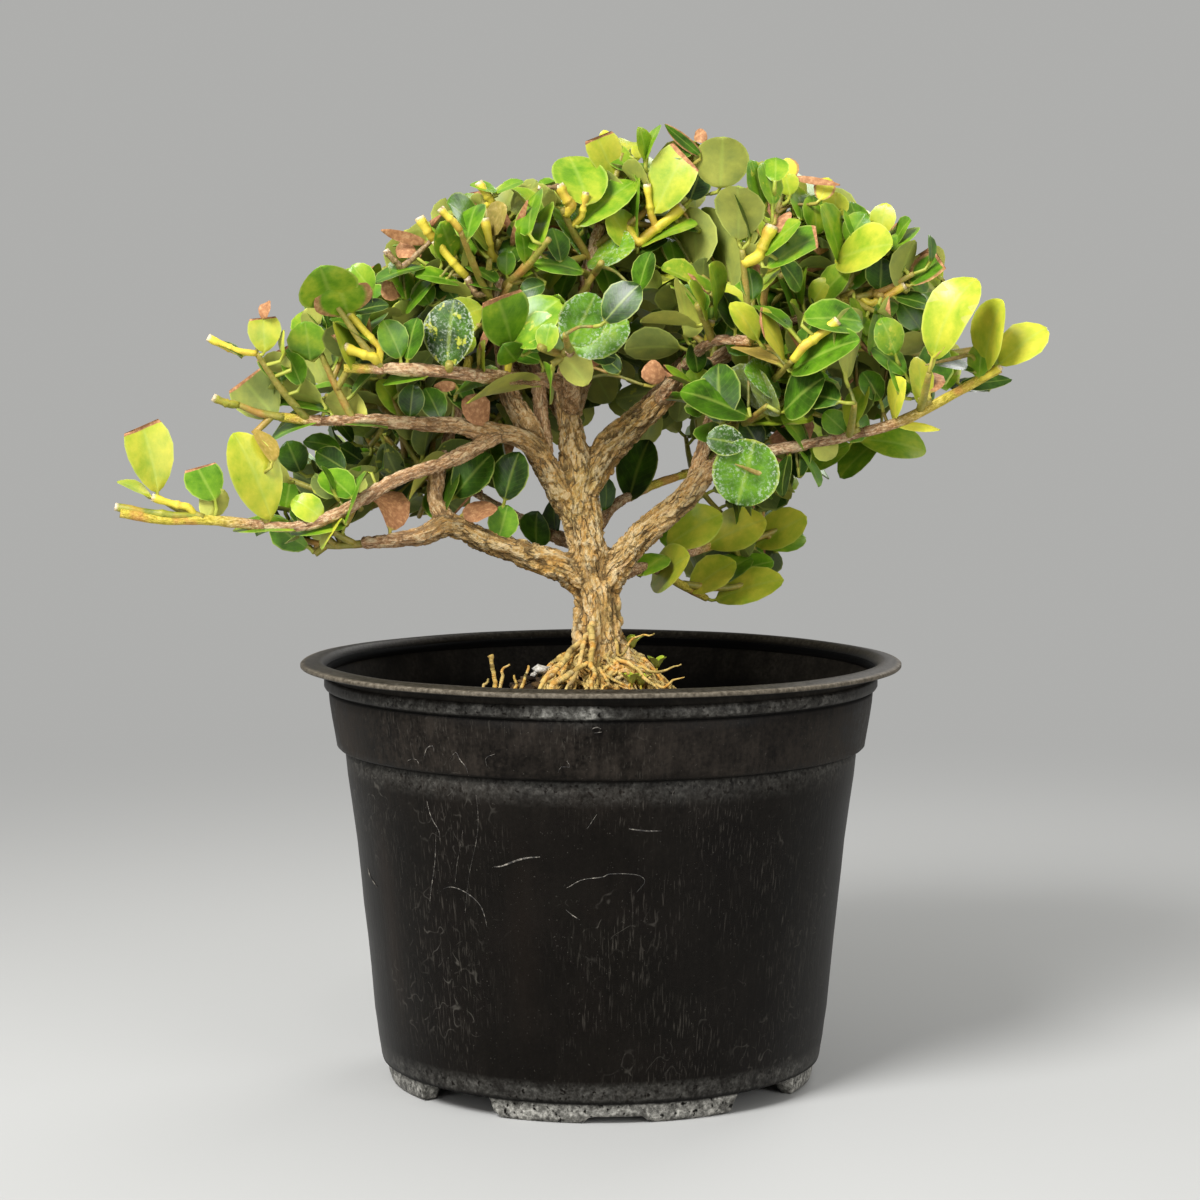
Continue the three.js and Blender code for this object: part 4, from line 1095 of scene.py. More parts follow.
def ground(x, y):
    """The height of the mix, under its small lumps."""
    top = np.array(SOIL_PROFILE[:8:-1])
    return np.interp(np.hypot(x, y), top[:, 0], top[:, 1]) + heap(x, y)


# Bark chips and clods on the heap at the left of the roots, as [x, y, size].
CHIPS = np.array([
    [-27, -3, 1.5], [-25.5, -7, 1.2], [-24, 1, 1.9], [-22, -6, 1.5], [-21, -1, 1.3],
    [-19.5, -5, 1.7], [-18.5, 2, 1.4], [-23, 5, 1.6], [-26, 4, 1.2], [-28.5, 1, 1.1],
    [-17.5, -9, 1.3], [-20.5, -10, 1.2], [-24.5, -11, 1.4], [-16.5, -2, 1.1], [-30, -5, 1.0],
])


def on_ground(rows):
    """Centres and sizes of lumps that lie on the mix."""
    x, y, size = rows.T
    return np.stack([x, y, ground(x, y) + size * 0.5], -1), size


BARK = bark()
piece("old_wood", old_wood(), BARK, ["tree"])
piece("thin_limbs", thin_wood(), BARK)
piece("fine_roots", fine_roots(), BARK)
loose = joined([scattered(700, 61, 9, 68.0, 1.9), lumps(*on_ground(CHIPS), 67)])
piece("soil_crumbs", loose, SOIL)
PERLITE = perlite()
grits = joined([
    scattered(46, 71, 14, 67.0, 1.5),
    lumps(*on_ground(np.array([[-16.2, -2, 2.4], [-18.6, 1.5, 1.2], [-22.6, -3.5, 0.8]])), 73),
])
piece("perlite_grits", grits, PERLITE)

# Foliage


# Places round a leaf's section: how far across it, which face, and the stalk's angle there.
RING_ACROSS = np.array([-1, -0.5, 0, 0.5, 1, 0])
RING_FACE = np.array([0, 1, 1, 1, 0, -1])
RING_ANGLE = np.radians([180, 125, 90, 55, 0, -90])
RING = len(RING_ACROSS)
STALK_RADIUS = 0.5
LEAF_ASPECT = 0.8

# What a leaf is like unless its row says otherwise. Lengths are in mm and angles in radians.
PLAIN_LEAF = {
    "bend": 0.45, "fold": 0.16, "twist": 0.0, "sway": 0.0, "swell": 1.15, "round": 0.6, "ripple": 0.012,
    "waves": 1.5, "cut": 1.0, "slope": 0.0, "thick": 0.5, "tone": 0.4, "dead": 0.0, "dew": 0.0,
    "rim": 0.0, "spots": 0.0, "seed": 0.0,
}


def leaf_shells(leaves, stations, stalk_rings):
    """Every leaf of a list as a thin closed shell, all of them worked out at once. A section of
    six points is carried from the shoot along the stalk and then along the blade. With s
    from 0 at the foot to 1 at the tip, the half width is W/2 sin(pi s^swell)^round, the middle
    line is an arc of a circle, the two halves fold up from it, and a clipped leaf stops at
    s = cut, plus a slope across it."""
    keys = [key for key in leaves[0] if key != "at"]
    rows = {key: np.array([leaf[key] for leaf in leaves], float) for key in keys}

    def each(name):
        return rows[name].reshape(-1, 1, 1)

    count = len(leaves)
    share = (1 - np.cos(np.pi * np.arange(stations) / (stations - 1))) / 2
    end = np.clip(each("cut") + each("slope") * RING_ACROSS, 0.2, 1.0)
    s = share[None, :, None] * end
    shape = np.clip(np.sin(np.pi * s ** each("swell")), 0, 1) ** each("round")
    half = STALK_RADIUS * (1 - 0.85 * s) + each("width") / 2 * shape
    bend = np.where(np.abs(each("bend")) < 0.01, 0.01, each("bend"))
    turn = bend * s
    reach = each("length") * np.sin(turn) / bend
    drop = -each("length") * (1 - np.cos(turn)) / bend
    edge = np.abs(RING_ACROSS)
    wave = 2 * math.pi * (each("waves") * s + each("seed") * 7 + (RING_ACROSS > 0) * 0.37)
    thick = STALK_RADIUS + (each("thick") / 2 - STALK_RADIUS) * ramp(s, 0, 0.28)
    groove = (edge < 0.1) * (0.1 + 0.12 * (RING_FACE < 0)) * (1 - s)
    height = each("fold") * half * edge**1.3 + each("ripple") * each("width") * np.sin(wave) * (
        edge**3 * shape
    )
    height = height + RING_FACE * thick * (1 - 0.4 * edge**2) - groove
    axis = rows["axis"][:, None, None]
    normal = rows["normal"][:, None, None]
    beside = np.cross(rows["axis"], rows["normal"])[:, None, None]
    over = normal * np.cos(turn)[..., None] + axis * np.sin(turn)[..., None]
    twist = (each("twist") * s)[..., None]
    side = beside * np.cos(twist) + over * np.sin(twist)
    over = over * np.cos(twist) - beside * np.sin(twist)
    sway = (each("sway") * each("length") * s * s)[..., None]
    blade = rows["foot"][:, None, None] + axis * reach[..., None] + normal * drop[..., None]
    blade = blade + beside * sway + side * (half * RING_ACROSS)[..., None]
    blade = blade + over * height[..., None]

    t = np.linspace(0, 1, stalk_rings + 1)[:-1][None, :, None]
    root, foot = rows["root"][:, None], rows["foot"][:, None]
    gap = np.linalg.norm(foot - root, axis=-1, keepdims=True)
    pull = foot - rows["axis"][:, None] * gap * 0.45
    middle = (1 - t) ** 2 * root + 2 * t * (1 - t) * pull + t * t * foot
    ahead = unit((1 - t) * (pull - root) + t * (foot - pull) + 1e-4)
    facing = rows["normal"][:, None]
    upward = unit(facing - ahead * (facing * ahead).sum(-1)[..., None])
    across = np.cross(ahead, upward)
    ring = np.cos(RING_ANGLE)[:, None] * across[:, :, None]
    ring = ring + np.sin(RING_ANGLE)[:, None] * upward[:, :, None]
    stalk = middle[:, :, None] + ring * STALK_RADIUS * 1.1

    grid = np.concatenate([stalk, blade], 1)
    rings = stations + stalk_rings
    start = (np.arange(count) * rings * RING)[:, None, None]
    quads = (grid_quads(rings, RING)[None] + start).reshape(-1, 4)
    tris = (end_fans(rings, RING)[None] + start).reshape(-1, 3)
    is_blade = (np.arange(rings) >= stalk_rings)[None, :, None]
    whole = np.concatenate([np.full((count, stalk_rings, RING), -0.1), s], 1)
    place = np.concatenate([np.zeros(stalk_rings), share])[None, :, None]
    values = {
        "side": np.broadcast_to(RING_FACE * (1 - edge), grid.shape[:3]) * is_blade,
        "sharp": np.broadcast_to((edge == 1) * (1 + (RING_ACROSS > 0)), grid.shape[:3]) * is_blade,
        "uv_across": np.broadcast_to(RING_ACROSS * 0.5 + 0.5, grid.shape[:3]),
        "uv_along": whole,
        "cut_edge": np.broadcast_to((each("cut") < 0.99) * place, grid.shape[:3]),
    }
    for name in ("tone", "dead", "dew", "rim", "spots", "seed"):
        values[name] = np.broadcast_to(each(name), grid.shape[:3])
    values = {name: np.asarray(value, float).reshape(-1) for name, value in values.items()}
    return surface(grid.reshape(-1, 3), quads, tris, **values)


def leaf_between(root, foot, tip, facing, width, **other):
    """A leaf whose foot and tip are given, its upper face turned as far as it goes towards a
    direction. The arc's chord joins foot and tip, so its first tangent leans back by half the
    bend."""
    leaf = {**PLAIN_LEAF, **other}
    chord = tip - foot
    reach = np.linalg.norm(chord)
    along = chord / reach
    normal = unit(facing - along * (facing @ along))
    half = leaf["bend"] / 2 if abs(leaf["bend"]) > 0.01 else 0.005
    leaf["axis"] = along * math.cos(half) + normal * math.sin(half)
    leaf["normal"] = normal * math.cos(half) - along * math.sin(half)
    leaf["length"] = reach * half / math.sin(half)
    leaf["width"] = width
    leaf["foot"], leaf["root"] = foot, root
    return leaf


# Leafy sprays: [foot on its limb, tip, leaf length, turn of the first pair in degrees].
SPRAYS = {
    "far_left_tip": [[-103, -52, 158.5], [-115, -52, 164], 15, 20],
    "far_left_tall": [[-87, -48, 156], [-90, -51, 167], 19, 0],
    "far_left_inner": [[-72, -43, 158], [-79, -52, 167], 15, 40],
    "far_left_behind": [[-63, -38, 163], [-76, -17, 168], 16, 30],
    "low_left_end": [[-64, -12, 149], [-84, -4, 150], 17, 60],
    "low_left_back": [[-45, -4, 166], [-60, 18, 172], 17, 15],
    "low_left_riser_top": [[-38, 17, 194], [-50, 32, 207], 17, 50],
    "left_end": [[-84, -32, 184], [-97, -36, 188], 17, 0],
    "left_end_top": [[-78, -31, 183.5], [-90, -42, 201], 16, 35],
    "left_upper": [[-66, -27, 183], [-75, -32, 203], 17, 80],
    "left_behind": [[-51, -20, 182], [-68, 6, 193], 17, 45],
    "front_left_clipped": [[-57, -43, 197], [-68, -50, 213], 17, 20],
    "front_left_middle": [[-40, -37, 196], [-38, -53, 211], 17, 30],
    "front_left_low": [[-27, -27, 194.5], [-33, -50, 189], 17, 0],
    "top_left_outer": [[-28, -12, 215], [-49, -21, 236], 16, 25],
    "top_left_middle": [[-27, -9, 210], [-37, -34, 233], 16, 60],
    "top_left_inner": [[-27, -14, 221], [-32, -6, 244], 15, 10],
    "top_left_right": [[-27, -13, 218], [-12, -29, 233], 16, 45],
    "top_left_back": [[-21, 17, 213], [-36, 30, 238], 16, 80],
    "crown_left": [[-3, 8, 226], [-12, -6, 243], 16, 30],
    "crown_middle": [[0, 6, 236], [6, 12, 255.5], 15, 0],
    "crown_front": [[-4, 8, 221], [2, -25, 229], 16, 50],
    "crown_back": [[-4, 8, 224], [9, 33, 240], 16, 15],
    "crown_right": [[-2, 7, 230], [21, 0, 247], 16, 15],
    "front_round": [[-8, -46, 202], [-9, -66, 206], 17, 45],
    "front_bright": [[-8, -38, 200], [-23, -54, 207.5], 17, 14],
    "right_front_high": [[30, -22, 204], [22, -40, 224], 17, 55],
    "right_front_side": [[40, -28, 204], [37, -38, 228], 17, 0],
    "right_crest_left": [[31, -2, 198], [33, 2, 236], 17, 35],
    "right_crest": [[43, -6, 206], [47, -16, 238], 16, 75],
    "right_crest_back": [[52, -9, 209], [60, 14, 238], 16, 20],
    "right_shoulder": [[56, -11, 211], [64, -30, 225], 17, 60],
    "right_end": [[67, -14, 215], [84, -18, 222], 16, 10],
    "right_end_top": [[63, -13, 213], [74, -10, 234], 16, 45],
    "right_middle": [[39, 8, 192], [50, -44, 199], 17, 30],
    "right_far": [[83, 10, 202], [99, -4, 209], 18, 0],
    "right_far_back": [[76, 13, 202], [114, 27, 203], 17, 50],
    "right_inner": [[31, 3, 180], [44, -34, 187], 17, 15],
    "low_right_tip": [[100, -43, 195], [108, -36, 206], 17, 65],
    "low_right_outer": [[84, -38, 186], [85, -50, 196], 15, 20],
    "low_right_middle": [[66, -30, 179], [66, -47, 188], 15, 50],
    "low_right_round": [[36, -14, 173], [37, -40, 171], 18, 0],
    "back_low": [[24, 49, 165], [44, 68, 172], 17, 40],
    "back_low_right": [[33, 55, 144], [56, 65, 149], 17, 10],
    "back_low_branch": [[24, 46, 133], [48, 58, 133], 17, 60],
    "back_left_low": [[-48, 54, 164], [-74, 60, 172], 17, 30],
    "back_left": [[-43, 54, 210], [-66, 60, 222], 17, 0],
    "back_left_inner": [[-20, 29, 193], [-40, 56, 186], 17, 55],
    "back_left_high": [[-28, 40, 200], [-22, 48, 228], 16, 30],
    "back_centre": [[1, 58, 228], [-6, 64, 245], 16, 20],
    "back_centre_low": [[-2, 38, 205], [-9, 64, 207], 16, 60],
    "back_right": [[40, 58, 212], [65, 54, 223], 17, 38],
    "back_right_inner": [[22, 40, 195], [34, 68, 192], 17, 75],
    "back_right_high": [[27, 47, 201], [34, 46, 229], 16, 0],
    "right_back_side": [[57, 12, 199.5], [70, 42, 208], 17, 40],
}
SHOOT_RADIUS = 1.0
SHOOT_SAG = 0.06
INTERNODE = 4.2
SIDE_SHOOTS = 12
LEAF_CLEARANCE = 2.35

# What the words that describe a leaf of the photograph mean.
# The dark and deep tones are partly painted shade, standing for leaves that lie in shade.
LOOKS = {
    "dark": {"tone": 0.1}, "deep": {"tone": 0.22}, "mid": {"tone": 0.36}, "olive": {"tone": 0.54},
    "bright": {"tone": 0.49}, "young": {"tone": 0.78}, "yellow": {"tone": 0.92}, "pale": {"tone": 0.72},
    "cut": {"cut": 0.8}, "dew": {"dew": 1.0}, "spots": {"spots": 1.0}, "rim": {"rim": 1.0},
    "dead": {"dead": 1.0, "ripple": 0.05, "bend": 1.1, "twist": 0.7}, "tan": {"dead": 0.6},
    "curl": {"bend": 1.3, "ripple": 0.04}, "fold": {"fold": 0.75}, "flat": {"bend": 0.12, "fold": 0.06},
    "round": {"swell": 1.0, "round": 0.5}, "under": {}, "sliver": {"bend": 0.5, "twist": 0.8},
}

# Leaves and clipped shoots as the photograph shows them, in groups that share their wood. A
# leaf is [foot, tip, apparent width] in the photograph's pixels and its look, and in a group
# the nearer leaf comes first. A stub is the same with its thickness.
FRONT = [
    dict(wood=["far_left", "far_left_tip", "far_left_tall", "far_left_inner"], stubs=[
        [198, 517, 115, 507, 9, "olive"], [197, 508, 152, 497, 8, "yellow"],
    ], leaves=[
        [205, 519, 224, 490, 27, "pale under curl"], [322, 520, 292, 500, 27, "pale curl"],
        [366, 472, 345, 525, 6, "mid"], [342, 518, 322, 550, 9, "young"],
        [333, 490, 321, 466, 6, "mid"], [157, 492, 140, 427, 46, "young cut"],
        [150, 497, 117, 482, 10, "young"], [270, 519, 233, 433, 50, "young"],
        [272, 462, 257, 430, 18, "yellow tan"], [215, 500, 198, 468, 38, "bright cut"],
        [352, 498, 322, 472, 30, "mid"], [296, 530, 233, 531, 17, "olive"],
        [345, 528, 290, 533, 20, "olive"],
    ]),
    dict(wood=["far_left_behind", "low_left", "low_left_riser", "low_left_end", "low_left_back"],
        stubs=[], leaves=[
        [447, 458, 410, 498, 16, "pale under"], [410, 480, 396, 514, 18, "dark"],
        [390, 530, 383, 492, 24, "dead"], [345, 470, 316, 452, 26, "dark"],
        [300, 472, 287, 441, 30, "deep"], [340, 450, 303, 442, 18, "deep"],
        [362, 462, 338, 446, 22, "dark"], [285, 508, 291, 478, 28, "mid"],
        [352, 442, 335, 420, 13, "dark"], [505, 500, 520, 452, 36, "dark"],
        [455, 497, 492, 455, 38, "dark"], [440, 520, 452, 470, 30, "deep"],
        [462, 515, 498, 508, 26, "dead flat"], [498, 540, 508, 505, 30, "mid"],
    ]),
    dict(wood=["back_left_low", "back_low"], stubs=[], leaves=[
        [537, 545, 538, 511, 31, "deep"], [557, 536, 557, 493, 20, "dark"],
        [604, 512, 604, 476, 16, "dark"],
    ]),
    dict(wood=["left", "left_end", "left_behind"], stubs=[
        [237, 405, 213, 397, 9, "olive"],
    ], leaves=[
        [275, 417, 244, 380, 48, "mid under cut"], [318, 422, 271, 441, 10, "mid"],
        [388, 428, 341, 424, 10, "deep"], [322, 401, 268, 388, 28, "olive under"],
        [330, 412, 275, 403, 14, "mid"], [325, 383, 310, 342, 36, "olive under fold"],
        [367, 417, 325, 400, 34, "pale under"], [400, 415, 378, 380, 24, "olive"],
        [410, 417, 414, 384, 26, "dark"], [487, 422, 462, 400, 24, "dead"],
        [456, 386, 434, 386, 10, "dead sliver"], [440, 420, 425, 388, 26, "deep"],
        [470, 412, 452, 385, 24, "dark"],
    ]),
    dict(wood=["left_end_top", "left_upper", "left"], stubs=[
        [246, 354, 208, 337, 8, "yellow"],
    ], leaves=[
        [264, 352, 262, 318, 32, "young cut"], [263, 318, 270, 301, 13, "dead"],
        [291, 366, 261, 362, 20, "olive under"], [284, 354, 284, 330, 6, "young"],
        [243, 357, 214, 343, 8, "deep"], [310, 360, 305, 321, 40, "bright"],
        [318, 326, 305, 309, 21, "pale under"], [300, 385, 285, 352, 24, "mid"],
    ]),
    dict(wood=["front_left", "front_left_clipped", "front_left_middle", "front_left_low"], stubs=[
        [380, 358, 344, 347, 11, "yellow"], [388, 355, 348, 312, 8, "yellow"],
        [510, 352, 506, 328, 8, "yellow"],
    ], leaves=[
        [540, 385, 468, 403, 14, "pale under"], [500, 378, 457, 392, 18, "bright dew"],
        [484, 372, 485, 340, 8, "pale"], [515, 343, 560, 323, 34, "bright spots"],
        [348, 314, 338, 283, 58, "olive cut rim"], [333, 302, 320, 266, 60, "bright round"],
        [352, 370, 333, 322, 18, "pale"], [372, 342, 330, 319, 12, "deep"],
        [448, 368, 455, 299, 50, "dark dew spots"], [511, 345, 495, 297, 50, "bright cut"],
        [515, 342, 560, 300, 40, "bright"], [372, 290, 352, 265, 26, "olive"],
        [355, 313, 389, 306, 14, "dark"], [400, 358, 383, 320, 30, "mid"],
        [408, 360, 418, 318, 26, "deep"], [425, 378, 383, 385, 12, "mid"],
        [515, 360, 503, 344, 30, "mid"], [480, 352, 491, 321, 6, "dead sliver"],
        [540, 362, 508, 352, 18, "deep"], [530, 352, 545, 322, 30, "mid"],
    ]),
    dict(wood=["left_fork", "top_left_outer", "top_left_middle", "top_left_inner", "top_left_right"],
        stubs=[
        [435, 240, 419, 217, 10, "yellow"], [478, 298, 467, 277, 8, "brown"],
        [467, 277, 435, 240, 9, "yellow"], [457, 224, 440, 208, 8, "yellow"],
        [493, 262, 484, 218, 10, "yellow"], [495, 205, 478, 182, 9, "yellow"],
        [505, 285, 540, 255, 8, "yellow"], [402, 267, 385, 250, 7, "grey"],
    ], leaves=[
        [425, 243, 381, 230, 11, "dead sliver"], [524, 262, 519, 226, 18, "olive"],
        [460, 285, 414, 276, 15, "mid"], [452, 258, 440, 222, 34, "bright spots"],
        [487, 247, 447, 203, 24, "mid"], [490, 232, 507, 206, 22, "olive tan"],
        [497, 193, 470, 185, 9, "bright"], [497, 193, 524, 182, 9, "bright"],
        [512, 245, 528, 200, 8, "dead sliver"], [507, 275, 508, 250, 18, "bright"],
        [425, 268, 375, 283, 12, "deep"], [415, 256, 396, 250, 13, "dead"],
        [398, 298, 382, 284, 18, "dead"], [433, 283, 406, 313, 14, "mid"],
        [467, 267, 495, 283, 12, "deep"], [465, 283, 500, 290, 12, "deep"],
        [440, 285, 470, 300, 16, "pale under"], [583, 273, 531, 263, 22, "mid"],
        [468, 240, 478, 205, 26, "mid"], [540, 250, 548, 205, 24, "olive"],
        [530, 235, 538, 192, 22, "mid"], [430, 305, 418, 285, 26, "mid"],
        [455, 300, 440, 280, 28, "deep"], [545, 285, 520, 292, 20, "dark"],
        [560, 262, 552, 228, 22, "deep"], [405, 300, 392, 262, 20, "olive"],
    ]),
    dict(wood=["trunk", "crown_left", "crown_middle", "crown_front", "crown_right"], stubs=[
        [575, 210, 558, 185, 11, "yellow"], [580, 222, 586, 192, 7, "yellow"],
        [638, 242, 683, 206, 11, "yellow"], [652, 222, 647, 184, 8, "yellow"],
        [558, 186, 538, 187, 5, "brown"],
    ], leaves=[
        [588, 261, 635, 248, 33, "bright dew"], [583, 256, 551, 203, 23, "mid dew"],
        [632, 250, 608, 210, 30, "pale"], [642, 247, 698, 225, 14, "olive"],
        [638, 238, 640, 178, 8, "bright"], [697, 270, 690, 207, 38, "olive under"],
        [735, 290, 702, 208, 30, "olive under"], [640, 255, 668, 240, 12, "dark"],
        [580, 227, 635, 182, 34, "bright"], [655, 213, 685, 156, 46, "young cut"],
        [588, 205, 569, 157, 50, "olive round"], [613, 178, 595, 138, 34, "young cut"],
        [606, 142, 604, 130, 10, "yellow"], [650, 190, 622, 168, 20, "olive under"],
        [628, 170, 608, 147, 22, "bright"], [645, 160, 638, 127, 15, "olive"],
        [646, 160, 661, 125, 10, "bright"], [640, 158, 633, 146, 10, "young"],
        [720, 188, 723, 137, 54, "olive under round"], [700, 155, 665, 124, 12, "deep sliver rim"],
        [672, 158, 692, 148, 15, "dark"], [705, 142, 696, 132, 12, "dead"],
        [700, 232, 672, 222, 16, "mid"], [675, 268, 668, 238, 20, "mid"],
        [660, 205, 640, 172, 24, "mid"], [690, 200, 700, 172, 30, "dark"],
        [612, 300, 600, 262, 24, "mid"], [640, 290, 652, 252, 22, "deep"],
        [560, 300, 575, 262, 22, "deep"],
    ]),
    dict(wood=["centre_front", "front_round", "front_bright"], stubs=[], leaves=[
        [560, 351, 588, 385, 31, "pale under"], [570, 345, 596, 294, 47, "mid dew round"],
        [572, 348, 629, 322, 48, "mid dew round"], [605, 322, 640, 285, 36, "dark"],
        [590, 355, 616, 359, 18, "dark"], [655, 384, 652, 360, 24, "dead"],
        [620, 372, 602, 356, 18, "dark"], [545, 352, 552, 322, 22, "olive"],
    ]),
    dict(wood=["right_front", "right_front_high", "right_front_side", "right_shoulder"], stubs=[
        [706, 340, 712, 320, 7, "yellow"], [755, 262, 772, 225, 13, "yellow"],
    ], leaves=[
        [748, 418, 680, 392, 37, "deep"], [706, 320, 688, 282, 7, "pale"],
        [697, 326, 640, 322, 14, "pale under"], [680, 347, 624, 349, 33, "mid under"],
        [685, 336, 680, 282, 26, "pale under"], [692, 344, 697, 373, 20, "dark"],
        [716, 318, 709, 265, 17, "olive"], [765, 255, 801, 222, 19, "bright"],
        [776, 232, 790, 212, 12, "dead sliver"], [768, 268, 818, 240, 28, "bright cut"],
        [738, 240, 738, 186, 50, "olive under"], [750, 237, 733, 190, 9, "dark"],
        [762, 215, 750, 160, 26, "bright spots"], [772, 205, 762, 163, 22, "bright spots"],
        [775, 220, 752, 170, 5, "dead sliver"], [775, 182, 776, 158, 26, "bright"],
        [752, 300, 748, 268, 22, "deep"], [735, 330, 722, 292, 26, "dark"],
        [700, 312, 690, 285, 20, "mid"], [780, 262, 800, 290, 20, "deep"],
    ]),
    dict(wood=["right", "right_crest", "right_crest_left", "right_end", "right_end_top"], stubs=[
        [862, 307, 905, 285, 8, "yellow"],
    ], leaves=[
        [820, 300, 850, 268, 27, "bright"], [812, 305, 830, 279, 22, "young"],
        [803, 305, 807, 266, 9, "bright"], [836, 261, 893, 245, 43, "young"],
        [855, 243, 878, 252, 5, "dead sliver"], [838, 260, 820, 205, 21, "bright"],
        [848, 243, 866, 213, 27, "bright"], [880, 235, 887, 203, 25, "young"],
        [793, 318, 776, 270, 12, "mid"], [898, 288, 915, 240, 22, "olive under"],
        [895, 245, 911, 220, 12, "mid"], [895, 252, 915, 228, 18, "bright"],
        [912, 285, 940, 262, 26, "mid cut rim"], [895, 298, 930, 307, 16, "dark"],
        [930, 262, 929, 235, 8, "mid"], [880, 290, 882, 258, 31, "dark"],
        [790, 180, 787, 158, 20, "yellow rim"], [790, 195, 785, 172, 22, "young"],
        [795, 178, 840, 185, 6, "dead sliver"], [820, 200, 829, 178, 20, "yellow rim"],
        [835, 218, 836, 192, 26, "young"], [815, 235, 812, 195, 26, "bright"],
        [800, 220, 795, 182, 26, "bright"], [860, 245, 850, 202, 26, "mid"],
        [850, 290, 862, 262, 24, "mid"], [830, 320, 815, 290, 22, "dark"],
        [770, 320, 762, 285, 22, "deep"], [905, 270, 885, 262, 26, "deep"],
    ]),
    dict(wood=["right_middle", "right_inner", "low_right", "low_right_middle"], stubs=[
        [795, 352, 838, 320, 10, "yellow"],
    ], leaves=[
        [780, 392, 744, 371, 30, "mid dew"], [780, 412, 726, 375, 34, "deep dew under"],
        [783, 358, 758, 322, 20, "yellow cut"], [757, 340, 730, 303, 24, "young"],
        [780, 365, 735, 347, 18, "yellow tan"], [792, 372, 860, 341, 34, "mid"],
        [803, 320, 863, 323, 34, "mid"], [845, 375, 862, 312, 30, "olive under"],
        [790, 330, 754, 306, 12, "mid"], [745, 380, 713, 356, 34, "dark"],
        [785, 412, 825, 378, 40, "dark"], [805, 450, 780, 415, 14, "bright"],
        [815, 440, 836, 456, 26, "pale under"], [845, 432, 824, 412, 24, "mid"],
        [850, 430, 868, 384, 22, "pale"], [800, 452, 819, 487, 6, "mid"],
        [790, 455, 783, 497, 17, "dark"], [800, 478, 802, 445, 24, "dark"],
        [895, 355, 880, 318, 30, "bright spots"], [905, 375, 872, 348, 22, "mid"],
        [805, 345, 812, 325, 18, "deep"], [840, 402, 805, 395, 30, "dark"],
        [760, 450, 742, 420, 26, "dark"],
    ]),
    dict(wood=["low_right_round"], near=0.5, stubs=[], leaves=[
        [773, 479, 735, 464, 3, "tan sliver flat"], [755, 440, 737, 505, 66, "mid dew round"],
        [745, 446, 706, 438, 30, "dark dew"],
    ]),
    dict(wood=["low_right", "low_right_tip", "low_right_outer", "right_fork", "right_far"], stubs=[
        [978, 380, 1001, 366, 7, "yellow"],
    ], leaves=[
        [893, 415, 906, 380, 21, "yellow"], [898, 425, 940, 430, 8, "yellow sliver"],
        [918, 402, 917, 357, 24, "pale"], [935, 358, 977, 279, 46, "young curl"],
        [933, 358, 962, 298, 30, "yellow rim"], [985, 370, 1003, 300, 34, "young"],
        [980, 378, 985, 340, 24, "olive"], [1000, 365, 1047, 328, 38, "young"],
        [996, 366, 1014, 352, 14, "pale"], [930, 340, 897, 350, 22, "pale under"],
        [915, 340, 893, 330, 18, "mid"], [968, 355, 925, 365, 2, "tan sliver"],
        [975, 372, 935, 365, 10, "deep"], [880, 400, 862, 372, 24, "deep"],
        [900, 395, 895, 360, 24, "mid"],
    ]),
    dict(wood=["right_far_back", "right_fork", "back_right", "right_back_side", "right_far"],
        stubs=[], leaves=[
        [960, 385, 1012, 380, 16, "dark sliver"], [990, 390, 950, 388, 14, "dark"],
        [860, 440, 926, 452, 34, "olive"], [850, 445, 800, 470, 30, "olive"],
        [880, 440, 840, 478, 28, "olive"], [920, 330, 900, 302, 26, "mid"],
    ]),
    dict(wood=["back_low", "back_low_right", "back_low_branch"], stubs=[], leaves=[
        [630, 500, 650, 440, 40, "dark"], [668, 546, 722, 514, 42, "young"],
        [708, 546, 766, 520, 42, "young"], [757, 546, 807, 517, 38, "young"],
        [690, 552, 660, 518, 34, "bright"], [768, 548, 806, 538, 24, "bright"],
        [652, 586, 690, 556, 34, "young"], [690, 592, 736, 562, 34, "young"],
        [716, 600, 784, 580, 34, "young"], [704, 590, 752, 558, 28, "bright"],
        [640, 576, 666, 556, 24, "bright"], [738, 572, 774, 562, 24, "bright"],
    ]),
]

# Where the photograph shows trunk and limbs with no leaf in front of them.
BARE_WOOD = [
    [470, 462], [560, 405], [575, 390], [650, 390], [700, 400], [672, 460], [735, 415],
    [765, 470], [725, 520], [690, 560], [660, 600], [655, 650], [560, 650], [560, 590],
    [470, 560], [380, 550], [360, 528], [430, 500],
]

# Where foliage shows in the photograph, as outlines in its pixels: the crown, the low branch on
# the left, the one on the right and the two at the back. Sky shows between them.
FOLIAGE_OUTLINES = [
    [
        [255, 345], [290, 330], [296, 285], [330, 268], [385, 262], [398, 235], [425, 212], [452, 190],
        [480, 182], [525, 182], [562, 172], [572, 158], [600, 138], [660, 128], [720, 136], [765, 155],
        [812, 172], [845, 200], [880, 205], [915, 225], [935, 262], [925, 300], [935, 330], [955, 350],
        [960, 385], [905, 405], [880, 432], [830, 455], [790, 460], [755, 445], [715, 430], [690, 425],
        [650, 436], [610, 458], [585, 465], [540, 440], [500, 440], [445, 428], [405, 430], [330, 425],
        [255, 420],
    ],
    [
        [222, 512], [236, 436], [262, 436], [280, 445], [330, 434], [372, 448], [440, 430], [520, 440],
        [512, 490], [490, 522], [430, 525], [398, 505], [365, 500], [340, 520], [290, 540], [240, 535],
    ],
    [
        [700, 420], [780, 440], [850, 432], [925, 432], [925, 455], [850, 478], [790, 495], [745, 505],
        [715, 470],
    ],
    [
        [645, 548], [668, 512], [705, 503], [796, 508], [800, 545], [770, 555], [778, 585], [738, 600],
        [690, 590], [650, 575],
    ],
]
LONGEST_STALK = 6.0
